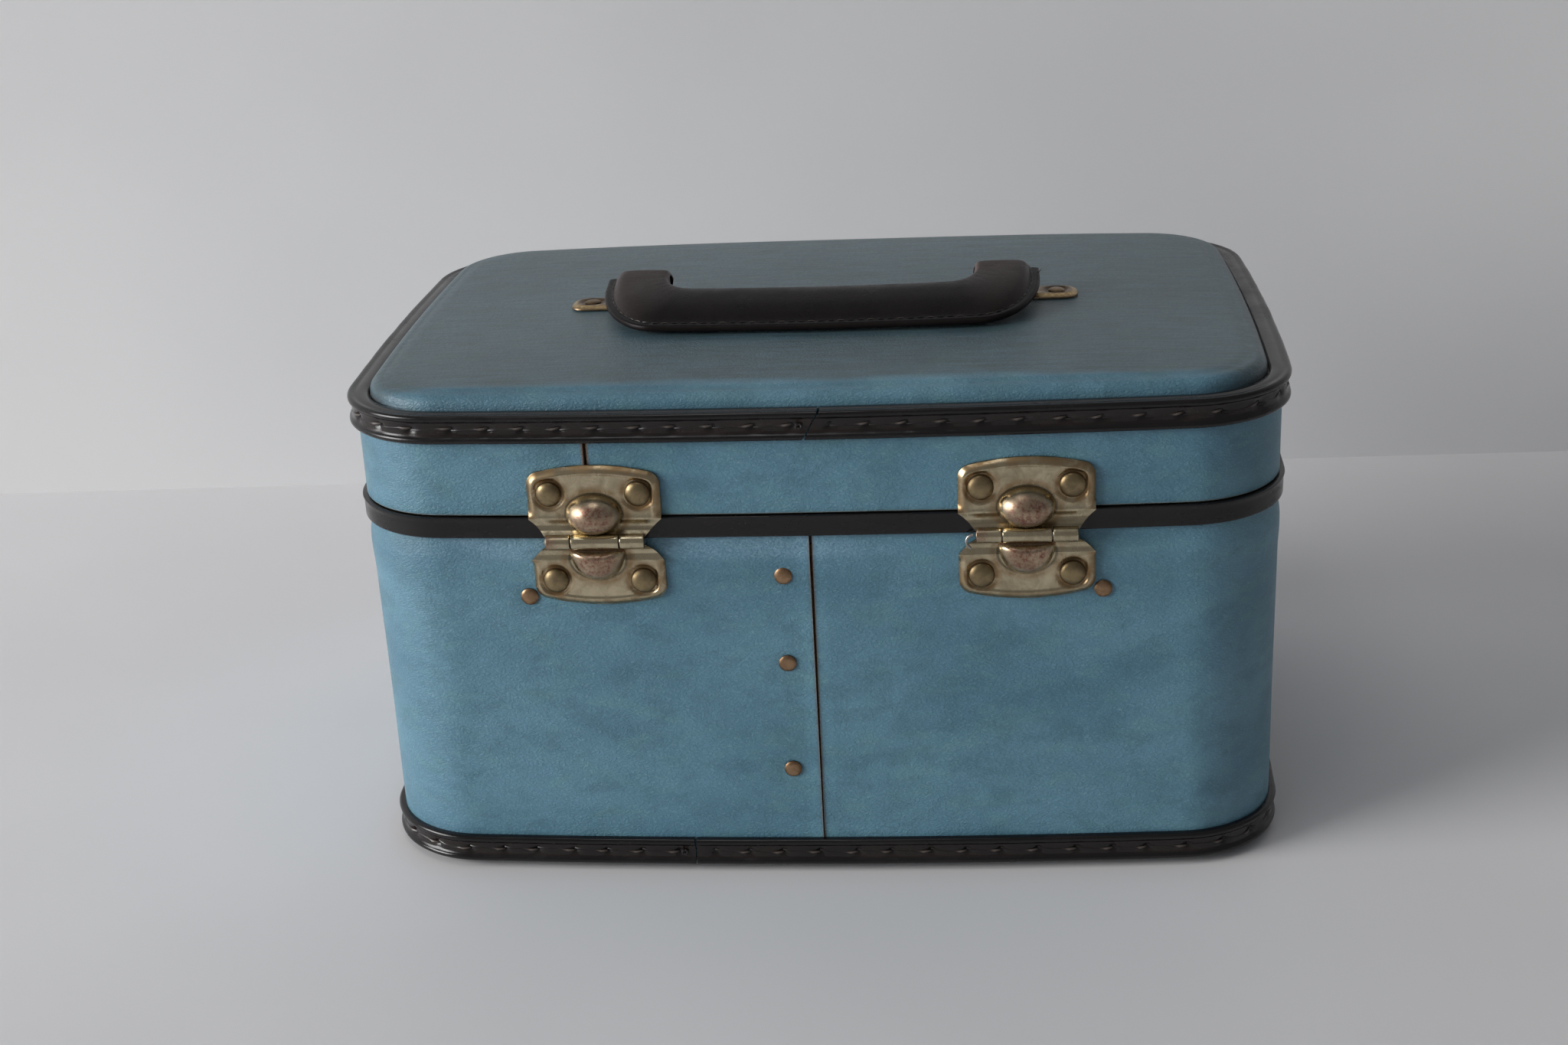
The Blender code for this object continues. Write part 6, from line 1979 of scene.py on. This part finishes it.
@dataclass
class Interior:
    """The linings and the elastic band inside the case."""

    outer: float = 5.8 * MM
    card: float = 1.0 * MM
    elastic_z: float = ELASTIC_RIVETS[0][1]
    elastic_wide: float = 18.0 * MM
    elastic_half: float = 106.0 * MM

    def ring(self, name: str, node: str, host: Host, low: float, high: float,
             palette: Palette) -> Piece:
        """A lining ring with a folded upper and lower edge.

        Args:
            name: The piece's name.
            node: The node that it stands for.
            host: Its body.
            low: Its lower edge.
            high: Its upper edge.
            palette: The case's finishes.

        Returns:
            The piece.
        """
        inner, r = -self.outer - self.card, 0.5 * MM
        section = [(-self.outer, low), (-self.outer, high)]
        section += arc_points((inner + r, high - r), r, 90, 180, 4)
        section += [(inner, z) for z in np.linspace(high - 3 * MM, low + 3 * MM, 12)]
        section += arc_points((inner + r, low + r), r, 180, 270, 4)
        return put(name, sweep(PLAN.stations(0.0, 0.0, 3 * MM, 3 * MM), section), palette.lining, host,
                   [node], 40)

    def elastic(self, palette: Palette) -> Piece:
        """The gathered elastic band, tight at its two rivets.

        Args:
            palette: The case's finishes.

        Returns:
            The piece.
        """
        half = self.elastic_wide / 2
        rows = []
        for x in np.linspace(-self.elastic_half, self.elastic_half, 260):
            y = -PLAN.wall(x, -self.outer - self.card - FIT)
            rib = 0.28 * MM * math.sin(x * 2100) + 0.16 * MM * math.sin(x * 700)
            frill = 0.5 * MM * math.sin(x * 1050)
            face = [(x, y + 1.25 * MM + rib * (0.5 + abs(t)),
                     self.elastic_z + t * (half - 0.3 * MM) + frill * t ** 3) for t in np.linspace(-1, 1, 9)]
            ends = [(x, y, self.elastic_z + s * (half - 0.5 * MM)) for s in (-1, 1)]
            rows.append([ends[0], *face, ends[1]])
        return put("elastic_band", Skin.loft(rows), palette.elastic,
                   Host.BODY, ["bottle_elastic"], 60)

    def build(self, palette: Palette) -> None:
        """Make the linings and the band.

        Args:
            palette: The case's finishes.
        """
        self.ring("body_lining_card", "body_lining", Host.BODY, 8.1 * MM, 126.7 * MM, palette)
        self.ring("lid_lining_card", "lid_lining", Host.LID, 144.6 * MM, 171.4 * MM, palette)
        self.elastic(palette)


@dataclass
class KeptNodes:
    """CAD nodes whose shape is right: they keep it and take their finish and softly broken edges."""

    edge: float = 0.35 * MM

    def dress(self, node: str, finish: Material, edge: float = 0.0) -> None:
        """Give one node its finish.

        Args:
            node: The node's name.
            finish: Its material.
            edge: Width of its broken edges, 0 for none.
        """
        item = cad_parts[node]
        item.data.materials.clear()
        item.data.materials.append(finish)
        if edge:
            step = item.modifiers.new("edge", "BEVEL")
            step.width, step.segments, step.limit_method = edge, 2, "ANGLE"
            step.angle_limit = math.radians(40)
            step.harden_normals = True

    def build(self, palette: Palette) -> None:
        """Dress every node that stays.

        Args:
            palette: The case's finishes.
        """
        for side in Side:
            self.dress(f"latch_{side.word}_plate", palette.hinge, self.edge)
            self.dress(f"latch_{side.word}_keeper", palette.hinge, self.edge)
            self.dress(f"latch_{side.word}_slider", palette.brass, self.edge)
        for node in ("seam_backing_strip", "lid_seam_strip"):
            self.dress(node, palette.board)
        for node in ("base_lining", "lid_ceiling"):
            self.dress(node, palette.lining, 0.3 * MM)
        self.dress("mirror", palette.glass, 0.4 * MM)
        self.dress("mirror_frame", palette.binding, 0.5 * MM)
        self.dress("handle_core", palette.steel)


@dataclass
class Studio:
    """Floor, wall, soft lamps and the camera at the photograph's place."""

    wall_y: float = 0.309
    wall_turn: float = math.radians(1.27)
    lens: float = 49.30
    yaw: float = -0.0958
    pitch: float = 0.3749
    roll: float = -0.0527
    eye: tuple = (0.0568, -0.7928, 0.4056)
    window: tuple = ((-3.31, -1.34, 1.18), (-0.34, 0.0, 0.09), 2.10, 20.4, 60.0)
    ceiling: tuple = ((-0.20, -0.40, 1.20), (0.05, 0.0, 0.1), 0.35, 0.8, 180.0)
    around: str = "#717476"
    ground: str = "#7a7a7b"

    def sheet(self, name: str, size: tuple, place: Matrix, finish: Material) -> None:
        """A flat stage piece.

        Args:
            name: Its name.
            size: Half its width and depth.
            place: Its placement.
            finish: Its material.
        """
        mesh = bpy.data.meshes.new(name)
        corners = ((-1, -1), (1, -1), (1, 1), (-1, 1))
        mesh.from_pydata([(x * size[0], y * size[1], 0) for x, y in corners], [], [(0, 1, 2, 3)])
        mesh.materials.append(finish)
        item = add_object(name, mesh)
        item.matrix_world = place

    def lamp(self, name: str, place: tuple, target: tuple, size: float, power: float, spread: float) -> None:
        """A square soft lamp, its spread held in so that the floor under it stays below white.

        Args:
            name: Its name.
            place: Where it hangs.
            target: The point it faces.
            size: Its side.
            power: Its power in watts.
            spread: Its full angle in degrees.
        """
        data = bpy.data.lights.new(name, "AREA")
        data.shape, data.size, data.energy = "SQUARE", size, power
        data.spread = math.radians(spread)
        item = add_object(name, data)
        item.location = place
        item.rotation_euler = (Vector(target) - Vector(place)).to_track_quat("-Z", "Y").to_euler()

    def camera(self) -> None:
        """The camera, from the edges fitted in the photograph."""
        flat = math.cos(self.pitch)
        ahead = Vector((math.sin(self.yaw) * flat, math.cos(self.yaw) * flat, -math.sin(self.pitch)))
        right = Vector((math.cos(self.yaw), -math.sin(self.yaw), 0.0))
        up = right.cross(ahead)
        across = right * math.cos(self.roll) + up * math.sin(self.roll)
        upward = up * math.cos(self.roll) - right * math.sin(self.roll)
        data = bpy.data.cameras.new("camera")
        data.lens, data.sensor_width, data.sensor_fit = self.lens, 36.0, "HORIZONTAL"
        data.clip_start, data.clip_end = 0.01, 50.0
        item = add_object("camera", data)
        item.matrix_world = Matrix((across, upward, -ahead)).transposed().to_4x4()
        item.location = self.eye
        bpy.context.scene.camera = item

    def world(self) -> None:
        """Even light from all round, and a pale ground where an eye or a reflection sees past the wall."""
        world = bpy.data.worlds.new("room")
        world.use_nodes = True
        bpy.context.scene.world = world
        tree = world.node_tree
        rays = add_node(tree, "ShaderNodeLightPath").outputs
        seen = rays["Is Camera Ray"]
        for ray in ("Is Glossy Ray", "Is Transmission Ray"):
            seen = add_node(tree, "ShaderNodeMath", {0: seen, 1: rays[ray]}, operation="MAXIMUM").outputs[0]
        tone = add_node(tree, "ShaderNodeMix", {0: seen, 6: linear(self.around), 7: linear(self.ground)},
                        data_type="RGBA").outputs[2]
        tree.links.new(tone, tree.nodes["Background"].inputs["Color"])
        tree.nodes["Background"].inputs["Strength"].default_value = 1.0

    def build(self) -> None:
        """Set the stage."""
        bpy.context.scene.view_settings.view_transform = "Standard"
        floor = PaintedBoard("emulsion_floor", "#e9e7e8", "#e1dfe0").build()
        wall = PaintedBoard("emulsion_wall", "#e1e0e0", "#d9d8d9", True).build()
        self.sheet("floor", (3.0, 3.0), Matrix.Translation((0.0, 0.0, 0.0)), floor)
        upright = Matrix.Rotation(self.wall_turn, 4, "Z") @ Matrix.Rotation(QUARTER, 4, "X")
        self.sheet("wall", (3.0, 1.5), Matrix.Translation((0.0, self.wall_y, 1.5)) @ upright, wall)
        self.lamp("window", *self.window)
        self.lamp("ceiling", *self.ceiling)
        self.world()
        self.camera()


def rivet_sets(leaves: Sequence[HingeLeaf], brackets: Sequence[HandleBracket]) -> list[tuple[Rivets, str]]:
    """All rivets, set by set.

    Args:
        leaves: The four hinge leaves.
        brackets: The two handle brackets.

    Returns:
        Each set with the name of its finish in the palette.
    """
    small, big = RivetHead(3.1 * MM, 0.9 * MM), RivetHead(4.5 * MM, 1.75 * MM, 0.9 * MM)
    outwards, inwards = Matrix.Rotation(QUARTER, 4, "X"), Matrix.Rotation(-QUARTER, 4, "X")
    copper = [Matrix.Translation((x, -PLAN.wall(x) - FIT, z)) @ outwards
              for x, z in SEAM_RIVETS + ELASTIC_RIVETS]
    copper += [Matrix.Translation((x, -PLAN.wall(x, -8.3 * MM), z)) @ inwards for x, z in ELASTIC_RIVETS]
    copper_nodes = [f"seam_rivet_{p}" for p in ("top", "middle", "bottom")]
    copper_nodes += ["elastic_rivet_left", "elastic_rivet_right"]
    sets = [(Rivets("small_rivets", Host.BODY, small, copper, copper_nodes, "rivet_copper"), "copper")]
    for host, on_lid, part in ((Host.LID, True, "lid"), (Host.BODY, False, "body")):
        places = [m for leaf in leaves if leaf.on_lid is on_lid for m in leaf.rivet_frames()]
        nodes = [f"hinge_{side.word}_{part}_rivet_{end}" for side in Side for end in "ab"]
        sets.append((Rivets(f"hinge_rivets_{part}", host, big, places, nodes, "rivet_brass"), "brass"))
    for host, part, reach, z in ((Host.LID, "keeper", 10.5 * MM, 156.0 * MM),
                                 (Host.BODY, "plate", 18.5 * MM, 111.0 * MM)):
        places = []
        for side in Side:
            turn = Matrix.Rotation(-side.value * math.atan(PLAN.slope(HINGE_X)), 4, "Z")
            base = Matrix.Translation((side.value * HINGE_X, PLAN.wall(HINGE_X), z)) @ turn
            places += [base @ Matrix.Translation((step * reach, 1.65 * MM, 0.0)) @ inwards
                       for step in (-1, 1)]
        nodes = [f"latch_{side.word}_{part}_rivet_{end}" for side in Side for end in "ab"]
        sets.append((Rivets(f"latch_{part}_rivets", host, small, places, nodes, "rivet_brass"), "brass"))
    places = [m for bracket in brackets for m in bracket.rivet_frames()]
    nodes = [f"bracket_{side.word}_rivet_{end}" for side in Side for end in "ab"]
    sets.append((Rivets("bracket_rivets", Host.LID, small, places, nodes, "rivet_brass"), "bronze"))
    return sets


def main() -> None:
    """Build the whole case and its stage."""
    logging.basicConfig(level=logging.INFO, format="%(message)s")
    palette = Palette()
    dimples = tuple((x, z, 4.4 * MM, 0.35 * MM) for x, z in SEAM_RIVETS + ELASTIC_RIVETS)
    Band("body_band_cover", Host.BODY, foot=8.1 * MM, top=137.7 * MM, seam_x=0.0, gap=1.0 * MM,
         gap_foot=0.3 * MM, dimples=dimples, tuck=True).build(palette)
    Band("lid_band_cover", Host.LID, foot=139.3 * MM, top=171.4 * MM, seam_x=-76.0 * MM, gap=1.0 * MM,
         gap_foot=1.0 * MM).build(palette)
    Panel("lid_top", "lid_panel", Host.LID, flange=174.7 * MM, field_z=181.2 * MM,
          crown=2.4 * MM).build(palette)
    Panel("base_board", "base_panel", Host.BODY, flange=4.8 * MM, field_z=0.0, crown=0.0).build(palette)
    SewnBinding("top_edge_binding", "top_binding", Host.LID, edge=176.8 * MM, up=1, joint_x=2.0 * MM,
                lean=math.radians(28)).build(palette)
    SewnBinding("bottom_edge_binding", "bottom_binding", Host.BODY, edge=2.7 * MM, up=-1,
                joint_x=-47.0 * MM, lean=0.0).build(palette)
    RimTrim().build(palette)
    leaves = [HingeLeaf(side, on_lid) for side in Side for on_lid in (True, False)]
    for leaf in leaves:
        leaf.build(palette)
    for side in Side:
        HingePin(side).build(palette)
    brackets = [HandleBracket(side) for side in Side]
    for bracket in brackets:
        bracket.build(palette)
    for rivets, metal in rivet_sets(leaves, brackets):
        rivets.build(getattr(palette, metal))
    SewnHandle().build(palette)
    Interior().build(palette)
    KeptNodes().build(palette)
    Studio().build()


if __name__ == "__main__":
    main()
